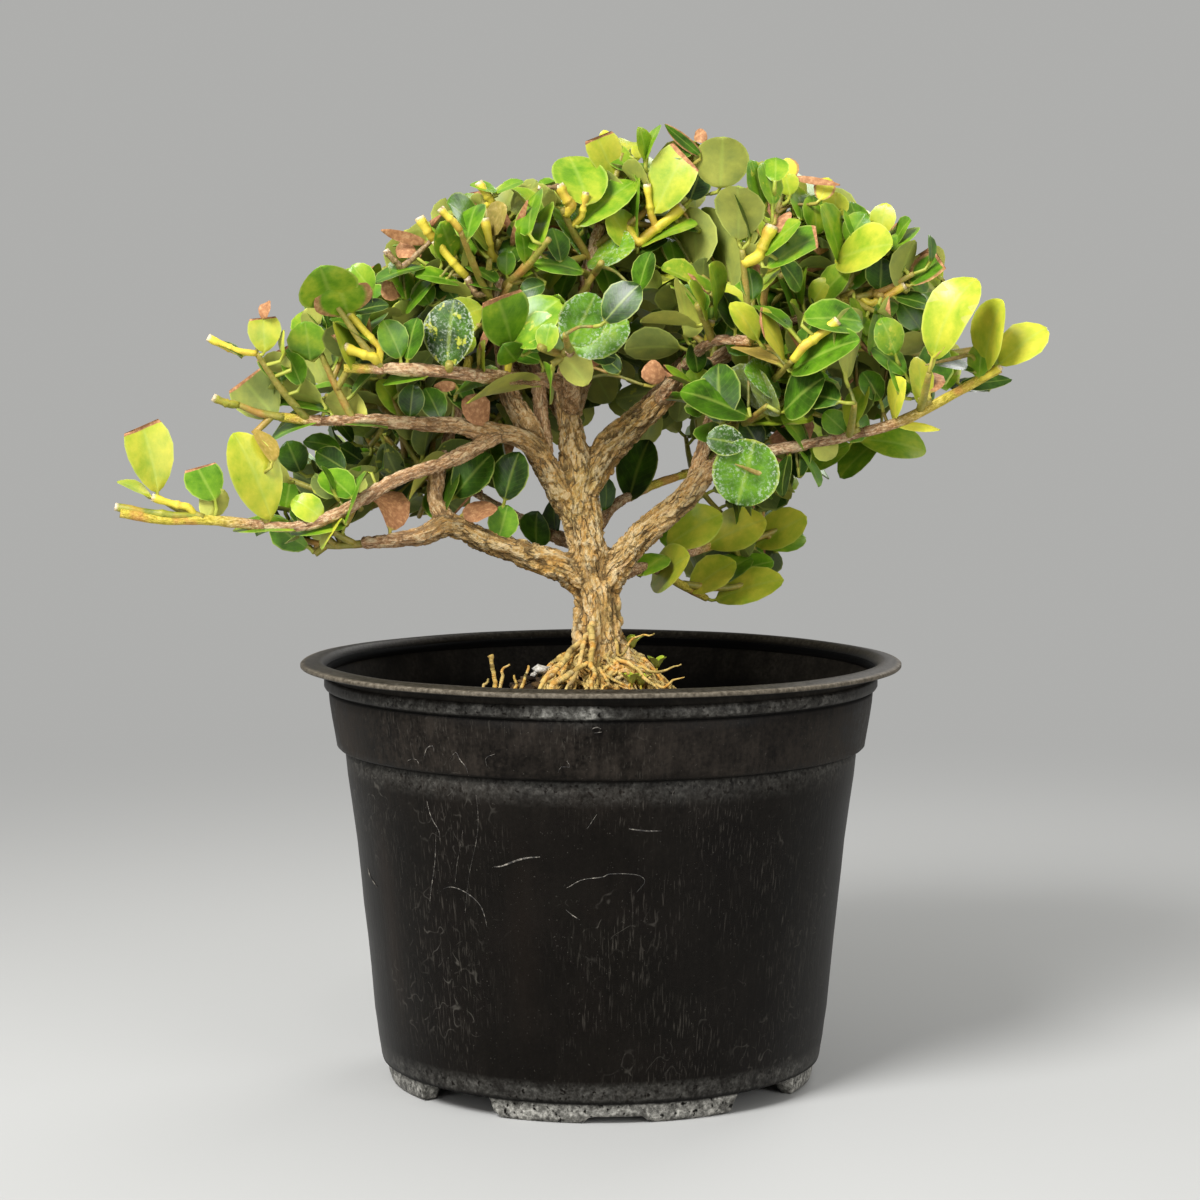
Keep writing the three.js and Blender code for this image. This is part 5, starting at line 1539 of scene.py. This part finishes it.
FINE_WIDTH = 14.0
LAYER_GAP = 2.0


def shoot_curve(foot, tip):
    """A shoot from its foot to its tip, which sags a little in the middle."""
    foot, tip = np.array(foot, float), np.array(tip, float)
    middle = (foot + tip) / 2
    middle[2] -= SHOOT_SAG * math.hypot(tip[0] - foot[0], tip[1] - foot[1])
    sizes = [SHOOT_RADIUS * 1.15, SHOOT_RADIUS, SHOOT_RADIUS * 0.75]
    return np.column_stack([np.stack([foot, middle, tip]), sizes])


def inside(u, v, outline):
    """Which pixels lie in an outline: a line from the pixel crosses it an odd number of times."""
    corners = np.array(outline, float)
    after = np.roll(corners, -1, axis=0)
    crosses = (corners[:, 1] > v[..., None]) != (after[:, 1] > v[..., None])
    climb = after[:, 1] - corners[:, 1]
    slope = (after[:, 0] - corners[:, 0]) / np.where(climb == 0, 1, climb)
    at_u = corners[:, 0] + (v[..., None] - corners[:, 1]) * slope
    return (crosses & (u[..., None] < at_u)).sum(-1) % 2 == 1


def wood_samples(names):
    """Points along the middle lines of limbs and shoots, about 1 mm apart. Each has its radius,
    the place of its wood in the list, and how far along that wood it is, from 0 to 1."""
    paths = []
    for number, name in enumerate(names):
        points = LIMBS[name] if name in LIMBS else shoot_curve(*SPRAYS[name][:2])
        path = smooth_path(points, 0.8)
        share = np.linspace(0, 1, len(path))
        path = np.column_stack([path, np.full(len(path), number), share])
        paths.append(path[120 if name == "trunk" else 0 :])
    return np.vstack(paths)


def nearest_wood(u, v, samples, near=0.06):
    """The wood that the photograph shows nearest to a pixel; nearer wood wins a little."""
    at_u, at_v, _ = seen(samples[:, :3])
    score = np.hypot(at_u - u, at_v - v) + near * samples[:, 1]
    return samples[score.argmin()]


def twig(root, end, radius, seed, **values):
    """A thin twig that leaves the wood and bends up and back on its way to its end."""
    root, end = np.asarray(root, float), np.asarray(end, float)
    middle = (root + end) / 2 + np.array([0, 0.2, 0.12]) * np.linalg.norm(end - root)
    path = np.column_stack([np.stack([root, middle, end]), [radius * 1.2, radius, radius * 0.9]])
    return tube(path, 8, 1.2, 0.1, seed, **values)


STUB_LOOKS = {"olive": 0.25, "yellow": 0.85, "brown": 0.1, "grey": 0.0}


# A clipped shoot's thickness along it: it swells at its nodes and just under the cut.
STUB_SWELLS = [
    [0.2, 0.95], [0.36, 0.88], [0.43, 1.1], [0.5, 0.9], [0.7, 0.88], [0.8, 1.03], [0.88, 1.02],
    [1.0, 0.94],
]


def stub(row, root, seed):
    """A clipped shoot, straight but for a little sag, with rings where leaves have been."""
    u0, v0, u1, v1, thickness, look = row
    foot = at(u0, v0, root[1] - 0.5)
    tip = at(u1, v1, root[1] - 2.5)
    _, _, distance = seen(foot)
    radius = thickness * distance / FOCAL_PIXELS / 2
    sag = np.array([0, -0.5, -0.35])
    points = [
        [*(foot + (tip - foot) * share + sag * 4 * share * (1 - share)), radius * swell]
        for share, swell in STUB_SWELLS
    ]
    if np.linalg.norm(root[:3] - foot) > 3.5:
        points.insert(0, [*foot, radius * 0.95])
    points.insert(0, [*root[:3], radius * 0.8])
    woody = float(look in ("brown", "grey"))
    shape = tube(points, 14, 0.6, 0.13, seed, tone=STUB_LOOKS[look], woody=woody)
    run = shape["values"]["run"]
    shape["values"]["cut_end"] = ramp(run, run.max() - 1.1, run.max() - 0.2)
    return shape, smooth_path(points, 0.8)


def photo_leaves(group, seed):
    """The leaves and stubs of one group of the photograph. A foot is carried by the wood that is
    seen nearest to it, at that wood's depth, with a twig where it is some way off. Where two
    leaves overlap in the photograph, the one that comes later leans back until it is behind.
    The third result is how far along each wood something grows."""
    samples = wood_samples(group["wood"])
    stems, leaves, used = [], [], {}

    def use(root):
        name = group["wood"][int(root[4])] if root[4] >= 0 else ""
        used[name] = max(used.get(name, 0.0), root[5])

    for number, row in enumerate(group["stubs"]):
        root = nearest_wood(row[0], row[1], samples)
        use(root)
        shape, path = stub(row, root, seed + number)
        stems.append(shape)
        marks = np.repeat([[-1.0, 0.0]], len(path), 0)
        samples = np.vstack([samples, np.column_stack([path, marks])])
    rows = group["leaves"]
    pixels = np.array([row[:5] for row in rows], float)
    near = group.get("near", 0.06)
    roots = np.array([nearest_wood(row[0], row[1], samples, near) for row in rows])
    feet = np.array([at(row[0], row[1], root[1]) for row, root in zip(rows, roots)])
    middle = (pixels[:, :2] + pixels[:, 2:4]) / 2
    size = np.hypot(*(pixels[:, 2:4] - pixels[:, :2]).T) / 2
    depth = feet[:, 1].copy()
    apart = np.linalg.norm(middle[:, None] - middle[None], axis=-1)
    overlap = apart < 0.62 * (size[:, None] + size[None])
    behind = np.triu(overlap, 1)
    limit = 0.42 * size * 0.27 * 2
    for _ in range(40):
        short = np.where(behind, depth[:, None] + LAYER_GAP - depth[None], 0)
        short = np.maximum(short, 0) * 0.25
        depth = depth - short.sum(1) / np.maximum((short > 0).sum(1), 1)
        depth = depth + short.sum(0) / np.maximum((short > 0).sum(0), 1)
        depth = np.clip(depth, feet[:, 1] - limit, feet[:, 1] + limit)
    for number, row in enumerate(rows):
        use(roots[number])
        words = row[5].split()
        look = {"seed": (seed * 0.37 + number * 0.618) % 1.0}
        for word in words:
            look.update(LOOKS[word])
        lean = 2 * (depth[number] - feet[number, 1])
        foot = feet[number]
        root = roots[number][:3]
        tip = at(row[2], row[3], foot[1] + lean)
        if "cut" in words:
            look["slope"] = 0.2 * (look["seed"] - 0.5)
            tip = foot + (tip - foot) / look["cut"]
        leaf, stalk_root = posed(
            foot, tip, row[4], "under" in words, "sliver" in words, look, root, lean
        )
        gap = np.linalg.norm(stalk_root - root)
        if gap > 0.5:
            stems.append(twig(root, stalk_root, 0.45, seed + number, tone=0.1, woody=0.3))
        leaves.append(leaf)
    return leaves, stems, used


def posed(foot, tip, width_pixels, is_under, is_sliver, look, root, lean):
    """A leaf that looks as long and as wide as the photograph shows. Where it looks narrow for
    its length it is rolled round its middle line by acos(seen / real width), and where it looks
    wide it is longer than it seems and leans towards the camera."""
    _, _, distance = seen((foot + tip) / 2)
    wide = width_pixels * distance / FOCAL_PIXELS
    chord = tip - foot
    length = np.linalg.norm(chord)
    if wide > length * 0.98:
        more = math.sqrt(max((wide / 0.98) ** 2 - chord[0] ** 2 - chord[2] ** 2, 0))
        tip = at_same_pixel(tip, foot[1] + math.copysign(more, lean if abs(lean) > 0.1 else -1))
        chord = tip - foot
        length = np.linalg.norm(chord)
    real = max(wide, LEAF_ASPECT * length)
    if length > 21:
        real = max(wide, 0.62 * length)
    if is_sliver:
        real = wide
    roll = math.acos(min(wide / real, 1.0))
    roll = min(roll, 1.3)
    sight = unit(EYE - (foot + tip) / 2)
    along = chord / length
    facing = unit(sight - along * (sight @ along))
    beside = np.cross(along, facing)
    beside = beside if beside[2] > 0 else -beside
    face = -facing if is_under else facing
    normal = math.cos(roll) * face + math.sin(roll) * beside
    stalk_root = root
    gap = foot - root
    reach = np.linalg.norm(gap)
    if reach > LONGEST_STALK:
        stalk_root = foot - gap / reach * 3.0 + np.array([0, 0.8, -0.3])
    leaf = leaf_between(stalk_root, foot, tip, normal, real, **look)
    return leaf, stalk_root


def at_same_pixel(point, depth):
    """The point at another depth that the photograph shows at the same pixel."""
    u, v, _ = seen(point)
    return at(u, v, depth)


def shoot_leaves(path, length, first_turn, chance, tip_tone):
    """Opposite pairs along a shoot, each a quarter turn from the last. The lower pairs stand
    wide open and the last pair is small and steep."""
    tangent, normal, across = frames(path)
    run = np.concatenate([[0], np.cumsum(np.linalg.norm(np.diff(path[:, :3], axis=0), axis=1))])
    bare = min(5.0, run[-1] * 0.25)
    pairs = int(np.clip(round((run[-1] - bare) / INTERNODE) + 1, 2, 5))
    leaves = []
    for pair in range(pairs):
        part = pair / (pairs - 1)
        index = np.searchsorted(run, bare + (run[-1] - bare) * part * 0.985)
        index = min(index, len(path) - 1)
        along = tangent[index]
        for half in (0, math.pi):
            turn = math.radians(first_turn + 90 * pair) + half + chance.normal(0, 0.2)
            outward = math.cos(turn) * normal[index] + math.sin(turn) * across[index]
            open_angle = math.radians(76 - 30 * part) + chance.normal(0, 0.14)
            direction = along * math.cos(open_angle) + outward * math.sin(open_angle)
            direction = unit(direction + np.array([0, 0, 0.12]))
            facing = along * math.sin(open_angle) - outward * math.cos(open_angle)
            facing = facing + np.array([0, 0, 0.5]) + chance.normal(0, 0.3, 3)
            size = length * chance.uniform(0.62, 0.98) * (0.78 if pair == pairs - 1 else 1)
            root = path[index, :3] + outward * path[index, 3] * 0.4
            foot = path[index, :3] + outward * (path[index, 3] + 0.4) + direction * 1.6
            bend = chance.uniform(0.1, 0.9)
            tip = foot + direction * size
            tone = 0.3 + 0.22 * part + tip_tone + chance.normal(0, 0.15)
            # Higher leaves are lighter: partly the yellower young growth at the top, partly painted
            # shade on the lower leaves inside the crown.
            tone = tone + 0.14 * np.clip((foot[2] - 205) / 35, -1, 1)
            leaf = leaf_between(
                root, foot, tip, facing, size * chance.uniform(0.62, 0.84), bend=bend,
                fold=chance.uniform(0.08, 0.55), twist=chance.normal(0, 0.2),
                swell=chance.uniform(0.98, 1.3), ripple=chance.uniform(0.0, 0.03),
                sway=chance.normal(0, 0.04), seed=chance.uniform(0, 1),
                tone=float(np.clip(tone, 0.02, 0.72)), at=index,
            )
            if chance.uniform() < 0.1:
                leaf["cut"], leaf["slope"] = chance.uniform(0.6, 0.85), chance.normal(0, 0.12)
            if chance.uniform() < 0.012:
                leaf.update(dead=1.0, bend=1.3, ripple=0.05)
            leaf["spots"] = float(chance.uniform() < 0.15)
            leaves.append(leaf)
    return leaves


def spray_shoots(name, chance):
    """The shoots of a spray: its own, and side shoots. The last value of each is where on the
    spray's own shoot it starts."""
    foot, tip, length, turn = SPRAYS[name]
    foot, tip = np.array(foot, float), np.array(tip, float)
    path = smooth_path(shoot_curve(foot, tip), 1.0)
    reach = np.linalg.norm(tip - foot)
    shoots = [(path, length, turn, 0)]
    tangent, normal, across = frames(path)
    for number in range(SIDE_SHOOTS):
        share = 0.1 + 0.62 * number / (SIDE_SHOOTS - 1)
        index = int(share * (len(path) - 1))
        around = math.radians(turn + 137.5 * number + 40) + chance.normal(0, 0.3)
        outward = math.cos(around) * normal[index] + math.sin(around) * across[index]
        heading = unit(tangent[index] * 0.75 + outward + np.array([0, 0, 0.12]))
        size = np.clip(reach * chance.uniform(0.5, 0.75), 11, 20)
        start = path[index]
        end = start[:3] + heading * size
        side = shoot_curve(start[:3], end)
        side[:, 3] *= 0.85
        shoots.append((smooth_path(side, 1.0), length * 0.95, turn + 53 * number, index))
    return shoots


def clear_part(path, front_pixels):
    """A shoot as far as it stays behind the photograph's leaves."""
    u, v, _ = seen(path[:, :3])
    off = np.hypot(u[:, None] - front_pixels[:, 0], v[:, None] - front_pixels[:, 1])
    blocked = (off < front_pixels[:, 2] * 1.15) & (path[:, 1:2] < front_pixels[:, 3] - 0.5)
    hit = np.nonzero(blocked.any(1))[0]
    return path if not len(hit) else path[: max(hit[0] - 2, 1)]


def middle_of(leaf):
    return leaf["foot"] + leaf["axis"] * leaf["length"] * 0.5


def kept(leaf, front_pixels, others):
    """Whether a grown leaf may stay: the photograph shows foliage where it shows, it isn't in
    front of a leaf of the photograph, and it doesn't lie in another leaf."""
    middle = middle_of(leaf)
    tip = leaf["foot"] + (middle - leaf["foot"]) * 1.9
    u, v, _ = seen(np.stack([middle, tip, leaf["foot"]]))
    for_all = np.zeros(3, bool)
    for outline in FOLIAGE_OUTLINES:
        for_all |= inside(u, v, outline)
    if not for_all[:2].all():
        return False
    if middle[1] < 6 and inside(u, v, BARE_WOOD).any():
        return False
    off = np.hypot(front_pixels[:, 0] - u[0], front_pixels[:, 1] - v[0])
    covered = off < front_pixels[:, 2] + 15
    if np.any(covered & (front_pixels[:, 3] > middle[1] - 2.0)):
        return False
    if len(others):
        points = np.stack([leaf["foot"] * 0.3 + middle * 0.7, middle, middle * 0.5 + tip * 0.5])
        gaps = np.linalg.norm(points[:, None] - np.asarray(others)[None], axis=-1)
        if gaps.min() < LEAF_CLEARANCE:
            return False
    return True


def shoot_stem(path, seed):
    shoot = tube(path, 8, 1.6, 0.08, seed, tone=0.3, woody=0.35)
    shoot["values"]["cut_end"] = np.zeros(len(shoot["points"]))
    return shoot


# A spray with fewer leaves than the first number gets some from sprays with more than the
# second, and this many of them.
BARE_SPRAY = 3
RICH_SPRAY = 12
TAKEN_OVER = 3


def take_over(carried, name):
    """A spray with hardly a leaf takes the nearest to its tip from sprays with many."""
    tip = np.array(SPRAYS[name][1], float)
    rich = [
        (other, leaf)
        for other, leaves in carried.items() if len(leaves) > RICH_SPRAY
        for leaf in leaves
    ]
    rich.sort(key=lambda pair: np.linalg.norm(pair[1]["foot"] - tip))
    for other, leaf in rich[:TAKEN_OVER]:
        carried[other] = [kept_leaf for kept_leaf in carried[other] if kept_leaf is not leaf]
        carried[name].append(leaf)


def foliage():
    """Leaves by the spray that carries them, and every shoot, stub and twig. A shoot is drawn as
    far as something grows on it."""
    chance = np.random.default_rng(41)
    carried = {name: [] for name in SPRAYS}
    stems, taken = [], []
    front, used = [], {}
    for seed, group in enumerate(FRONT):
        leaves, twigs, grown_on = photo_leaves(group, 100 * seed + 7)
        stems += twigs
        for name, share in grown_on.items():
            used[name] = max(used.get(name, 0.0), share)
        owners = [name for name in group["wood"] if name in SPRAYS] or list(SPRAYS)
        ends = np.array([SPRAYS[name][1] for name in owners], float)
        for leaf in leaves:
            owner = owners[int(np.linalg.norm(ends - leaf["foot"], axis=1).argmin())]
            carried[owner].append(leaf)
            front.append(leaf)
    middles = np.array([middle_of(leaf) for leaf in front])
    u, v, distance = seen(middles)
    sizes = np.array([leaf["length"] for leaf in front]) * FOCAL_PIXELS / distance * 0.3
    front_pixels = np.column_stack([u, v, sizes, middles[:, 1]])
    for leaf in front:
        middle = middle_of(leaf)
        taken += [leaf["foot"] * 0.4 + middle * 0.6, middle]
    for name in SPRAYS:
        shoots = spray_shoots(name, chance)
        main = shoots[0][0]
        hold = int(used[name] * (len(main) - 1)) + 4 if name in used else 0
        limit = max(len(clear_part(main, front_pixels)), hold)
        reached = hold
        for number, (path, length, turn, start) in enumerate(shoots):
            if start >= limit:
                continue
            clear = path[: len(clear_part(path, front_pixels)) if number else limit]
            grown = shoot_leaves(path, length, turn, chance, 0.1 if number == 0 else 0.02)
            stay = []
            for leaf in grown:
                if leaf["at"] < len(clear) and kept(leaf, front_pixels, taken):
                    stay.append(leaf)
                    middle = middle_of(leaf)
                    beyond = middle * 1.45 - leaf["foot"] * 0.45
                    taken += [leaf["foot"] * 0.3 + middle * 0.7, middle, beyond]
            carried[name] += stay
            reach = max([leaf["at"] for leaf in stay], default=0)
            if number == 0:
                reached = max(reached, reach + 1)
            elif reach > 2:
                stems.append(shoot_stem(path[: reach + 1], len(stems)))
                reached = max(reached, start + 2)
        if reached > 3:
            stems.append(shoot_stem(main[:reached], len(stems)))
    for name in [name for name in SPRAYS if len(carried[name]) < BARE_SPRAY]:
        take_over(carried, name)
    return carried, stems


def waxy_leaf():
    """Thick waxy leaf of natal plum: glossy deep green above, yellower where it is young, with a
    pale midrib and pale edges that are partly a painted highlight, and duller grey-green below.
    Its darkest greens are partly painted shade. Clipped edges have dried brown."""
    material, add = new_material("waxy_evergreen_leaf")
    place = add("TexCoord", out="Object")
    along = add("SeparateXYZ", add("UVMap", uv_map="blade"), out="Y")
    side, tone, dew, rim, spots, seed, dead, cut_edge = (
        add("Attribute", attribute_name=name, out="Fac")
        for name in ("side", "tone", "dew", "rim", "spots", "seed", "dead", "cut_edge")
    )
    rise = add("Math ABSOLUTE", side)
    soft = add("TexNoise", place, 150.0, 4.0, 0.62)
    fine = add("TexNoise", place, 900.0, 3.0, 0.6)
    shade = add("Math MULTIPLY_ADD", add("Math SUBTRACT", soft, 0.5), 0.9, tone)
    shade = add("Math MULTIPLY_ADD", add("Math SUBTRACT", seed, 0.5), 0.12, shade)
    # Painted shade in part: the darkest greens stand for leaves that lie in shade.
    upper = add("ValToRGB", shade, stops=[
        (0.0, "#1f350b"), (0.18, "#365810"), (0.36, "#527e16"), (0.5, "#6c941e"),
        (0.62, "#8da529"), (0.78, "#aeb534"), (0.92, "#c3c03c"), (1.0, "#d3ca46"),
    ])
    lower = add("ValToRGB", shade, stops=[
        (0.0, "#55662f"), (0.35, "#7c8842"), (0.6, "#9a9f48"), (0.85, "#b9b954"), (1.0, "#cfca62"),
    ])
    is_upper = add("Math GREATER_THAN", side, 0.0)
    base = add("Mix", is_upper, lower, upper, **RGBA)
    # Veins: a midrib, and side veins that leave it at a slant about 1.5 mm apart.
    slant = add("Math MULTIPLY_ADD", along, 9.0, add("Math MULTIPLY", rise, 2.6))
    wave = add("Math ABSOLUTE", add("Math SUBTRACT", add("Math FRACT", slant), 0.5))
    vein = add("Math MULTIPLY", add("ValToRGB", wave, stops=[(0.0, 1.0), (0.1, 0.0)]), 0.07)
    vein = add("Math MAXIMUM", vein, add("ValToRGB", rise, stops=[(0.88, 0.0), (0.98, 0.3)]))
    base = add("Mix", vein, base, "#a9bb55", **RGBA)
    # Pale edges: partly the leaf's own pale rim and partly a painted highlight along it.
    pale_rim_and_highlight = add("ValToRGB", rise, stops=[(0.0, 1.0), (0.05, 0.7), (0.1, 0.0)])
    base = add("Mix", add("Math MULTIPLY", pale_rim_and_highlight, 0.45), base, "#c0cb66", **RGBA)
    # Yellow flecks and dried salts.
    fleck = cloudy(add, place, 520.0, 2.0, 0.5, (0.6, 0.0), (0.68, 1.0))
    fleck = add("Math MULTIPLY", fleck, add("Math MULTIPLY", spots, 0.75))
    base = add("Mix", fleck, base, "#b3b53c", **RGBA)
    salt = cloudy(add, place, 1300.0, 3.0, 0.65, (0.5, 0.0), (0.62, 1.0))
    patch = cloudy(add, place, 160.0, 2.0, 0.55, (0.42, 0.0), (0.6, 0.6))
    frosted = add("ValToRGB", rise, stops=[(0.0, 1.0), (0.14, 0.9), (0.4, 0.12)])
    salt = add("Math MULTIPLY", salt, add("Math ADD", patch, frosted), use_clamp=True)
    salt = add("Math MULTIPLY", salt, add("Math MULTIPLY", dew, 0.55))
    base = add("Mix", salt, base, "#b9c2b2", **RGBA)
    # Dried parts: a clipped end, a scorched rim, and dead leaves.
    dry = add("ValToRGB", fine, stops=[
        (0.2, "#80573a"), (0.5, "#a8764e"), (0.65, "#c09064"), (0.85, "#dab98e"),
    ])
    torn = add("Math MULTIPLY_ADD", soft, 0.1, cut_edge)
    torn = add("ValToRGB", torn, stops=[(0.995, 0.0), (1.04, 1.0)])
    scorch = add("ValToRGB", rise, stops=[(0.0, 1.0), (0.16, 0.8), (0.3, 0.0)])
    scorch = add("Math MULTIPLY", scorch, rim)
    dried = add("Math MAXIMUM", add("Math MAXIMUM", torn, scorch), dead)
    base = add("Mix", dried, base, dry, **RGBA)
    stalk = add("ValToRGB", along, stops=[(0.0, 1.0), (0.06, 0.0)])
    base = add("Mix", add("Math MULTIPLY", stalk, 0.7), base, "#a3a53c", **RGBA)
    rough = add("Math MULTIPLY_ADD", add("Math SUBTRACT", 1.0, is_upper), 0.2, 0.22)
    rough = add("Math MULTIPLY_ADD", soft, 0.2, rough)
    rough = add("Math MULTIPLY_ADD", salt, 0.3, rough)
    rough = add("Math MULTIPLY_ADD", dried, 0.35, rough)
    height = add("Math MULTIPLY_ADD", vein, -0.6, add("Math MULTIPLY", soft, 0.7))
    height = add("Math MULTIPLY_ADD", fine, 0.12, height)
    shader = {"IOR": 1.45, "Specular_IOR_Level": 0.36}
    return surfaced(material, add, base, rough, height, 0.35, 0.0004, **shader)


def green_shoot():
    """Young shoots, half way from green to wood: smooth waxy skin from olive to bright yellow,
    flushed orange at the nodes, with pale dry cut ends."""
    material, add = new_material("waxy_young_shoot")
    place = add("TexCoord", out="Object")
    tone, woody, cut_end = (
        add("Attribute", attribute_name=name, out="Fac") for name in ("tone", "woody", "cut_end")
    )
    soft = add("TexNoise", place, 300.0, 3.0, 0.6)
    fine = add("TexNoise", place, 1400.0, 3.0, 0.65)
    tone = add("Math ADD", tone, add("Math SUBTRACT", soft, 0.5))
    base = add("ValToRGB", tone, stops=[
        (0.0, "#5c6b23"), (0.35, "#98962e"), (0.65, "#c4b436"), (1.0, "#e0cd42"),
    ])
    flush = cloudy(add, place, 130.0, 2.0, 0.55, (0.5, 0.0), (0.72, 0.7))
    base = add("Mix", flush, base, "#c07f3c", **RGBA)
    wood = add("ValToRGB", fine, stops=[(0.3, "#54402a"), (0.5, "#8a6d48"), (0.7, "#b79b70")])
    woody = add("Math ADD", woody, add("Math SUBTRACT", soft, 0.55), use_clamp=True)
    base = add("Mix", woody, base, wood, **RGBA)
    face = add("ValToRGB", fine, stops=[(0.3, "#7d6248"), (0.5, "#c9b698"), (0.7, "#e9dfc9")])
    base = add("Mix", cut_end, base, face, **RGBA)
    return surfaced(material, add, base, 0.5, fine, 0.4, 0.0003, IOR=1.45)


# Weed seedlings among the roots: where their leaves meet, as [x, y, z], and a leaf's length.
SEEDLINGS = [
    [8.6, 0.5, 119.6, 3.0], [15.6, 4, 113.6, 2.8], [8.4, -14, 111.0, 3.0], [11.0, -13.5, 110.8, 2.6],
]


def seedlings():
    """Each has a hair-thin stem from the mound and four small leaves spread round its top."""
    stems, leaves = [], []
    for number, (x, y, z, size) in enumerate(SEEDLINGS):
        top = np.array([x, y, z])
        stems.append(tube([[x, y, mound(x, y) - 1, 0.3], [x, y, z - 0.3, 0.25], [x, y, z, 0.2]], 6, 0.8,
                          0.0, number, tone=0.7, woody=0.0))
        for quarter in range(4):
            turn = quarter * math.pi / 2 + number
            way = np.array([math.cos(turn), math.sin(turn), 0.9])
            foot = top + way * 0.3
            leaves.append(leaf_between(
                top, foot, foot + way * size, np.array([0, 0, 1.0]), size * 0.8, tone=0.75, thick=0.25,
            ))
    return leaf_shells(leaves, 6, 1), joined(stems)


LEAF = waxy_leaf()
SHOOT = green_shoot()
carried, stems = foliage()
for spray_name, spray_leaves in carried.items():
    large = [leaf for leaf in spray_leaves if leaf["width"] > FINE_WIDTH]
    small = [leaf for leaf in spray_leaves if leaf["width"] <= FINE_WIDTH]
    shells = joined(
        [leaf_shells(part, rows, 2) for part, rows in ((large, 13), (small, 8)) if part]
    )
    piece(f"foliage_{spray_name}", shells, LEAF, [f"leaves_{spray_name}"])
piece("young_shoots", joined(stems), SHOOT)
weed_leaves, weed_stems = seedlings()
piece("weed_leaves", weed_leaves, LEAF)
piece("weed_stems", weed_stems, SHOOT)

# Studio: a pale floor that meets a pale grey background, one large soft light up on the left,
# a weaker one on the right, and a rim light from behind.


BACKDROP = "#b5b5b3"
BACKDROP_STRENGTH = 0.92
FLOOR_CLEAR = 0.16
FLOOR_GONE = 0.75


def stage_floor():
    """Pale matt floor. Between two distances from the pot it fades into the background, so
    that no horizon shows behind the plant."""
    material, add = new_material("pale_studio_floor")
    reach = add("VectorMath LENGTH", add("TexCoord", out="Object"), out="Value")
    fade = {"interpolation_type": "SMOOTHSTEP", "From_Min": FLOOR_CLEAR, "From_Max": FLOOR_GONE}
    matt = add("BsdfPrincipled", Base_Color="#b3b3b1", Roughness=0.8)
    glow = add("Emission", BACKDROP, BACKDROP_STRENGTH)
    add("OutputMaterial", add("MixShader", add("MapRange", reach, **fade), matt, glow))
    mesh = bpy.data.meshes.new("floor")
    corners = [(-x, -y, 0) for x, y in ((30, 30), (-30, 30), (-30, -30), (30, -30))]
    mesh.from_pydata(corners, [], [(0, 1, 2, 3)])
    mesh.materials.append(material)
    floor = bpy.data.objects.new("floor", mesh)
    bpy.context.scene.collection.objects.link(floor)


def soft_light(name, place, target, width, watts, tint="#ffffff"):
    data = bpy.data.lights.new(name, "AREA")
    data.shape = "DISK"
    data.size = width
    data.energy = watts
    data.color = colour(tint)[:3]
    light = bpy.data.objects.new(name, data)
    bpy.context.scene.collection.objects.link(light)
    light.location = place
    aim = np.asarray(target, float) - np.asarray(place, float)
    light.rotation_euler = Vector(aim).to_track_quat("-Z", "Y").to_euler()


stage_floor()
soft_light("key", (-0.5, -0.75, 0.95), (0, 0, 0.17), 0.5, 22.0)
soft_light("fill_left", (-0.75, -1.0, 0.22), (0, 0, 0.13), 0.8, 4.0)
soft_light("fill", (0.9, -0.95, 0.3), (0, 0, 0.17), 0.9, 8.0)
soft_light("rim", (0.5, 0.9, 0.8), (0, 0, 0.17), 0.6, 4.5)

world = bpy.data.worlds.new("studio")
world.use_nodes = True
world.node_tree.nodes["Background"].inputs[0].default_value = colour(BACKDROP)
world.node_tree.nodes["Background"].inputs[1].default_value = BACKDROP_STRENGTH
bpy.context.scene.world = world
bpy.context.scene.view_settings.view_transform = "Standard"

camera_data = bpy.data.cameras.new("photo_camera")
camera_data.sensor_width = SENSOR
camera_data.lens = FOCAL_PIXELS / PHOTO_SIZE * SENSOR
camera_data.clip_start, camera_data.clip_end = 0.05, 100.0
camera = bpy.data.objects.new("photo_camera", camera_data)
bpy.context.scene.collection.objects.link(camera)
camera.location = EYE * MM
camera.rotation_euler = (math.pi / 2 - LOOK_DOWN, 0, 0)
bpy.context.scene.camera = camera
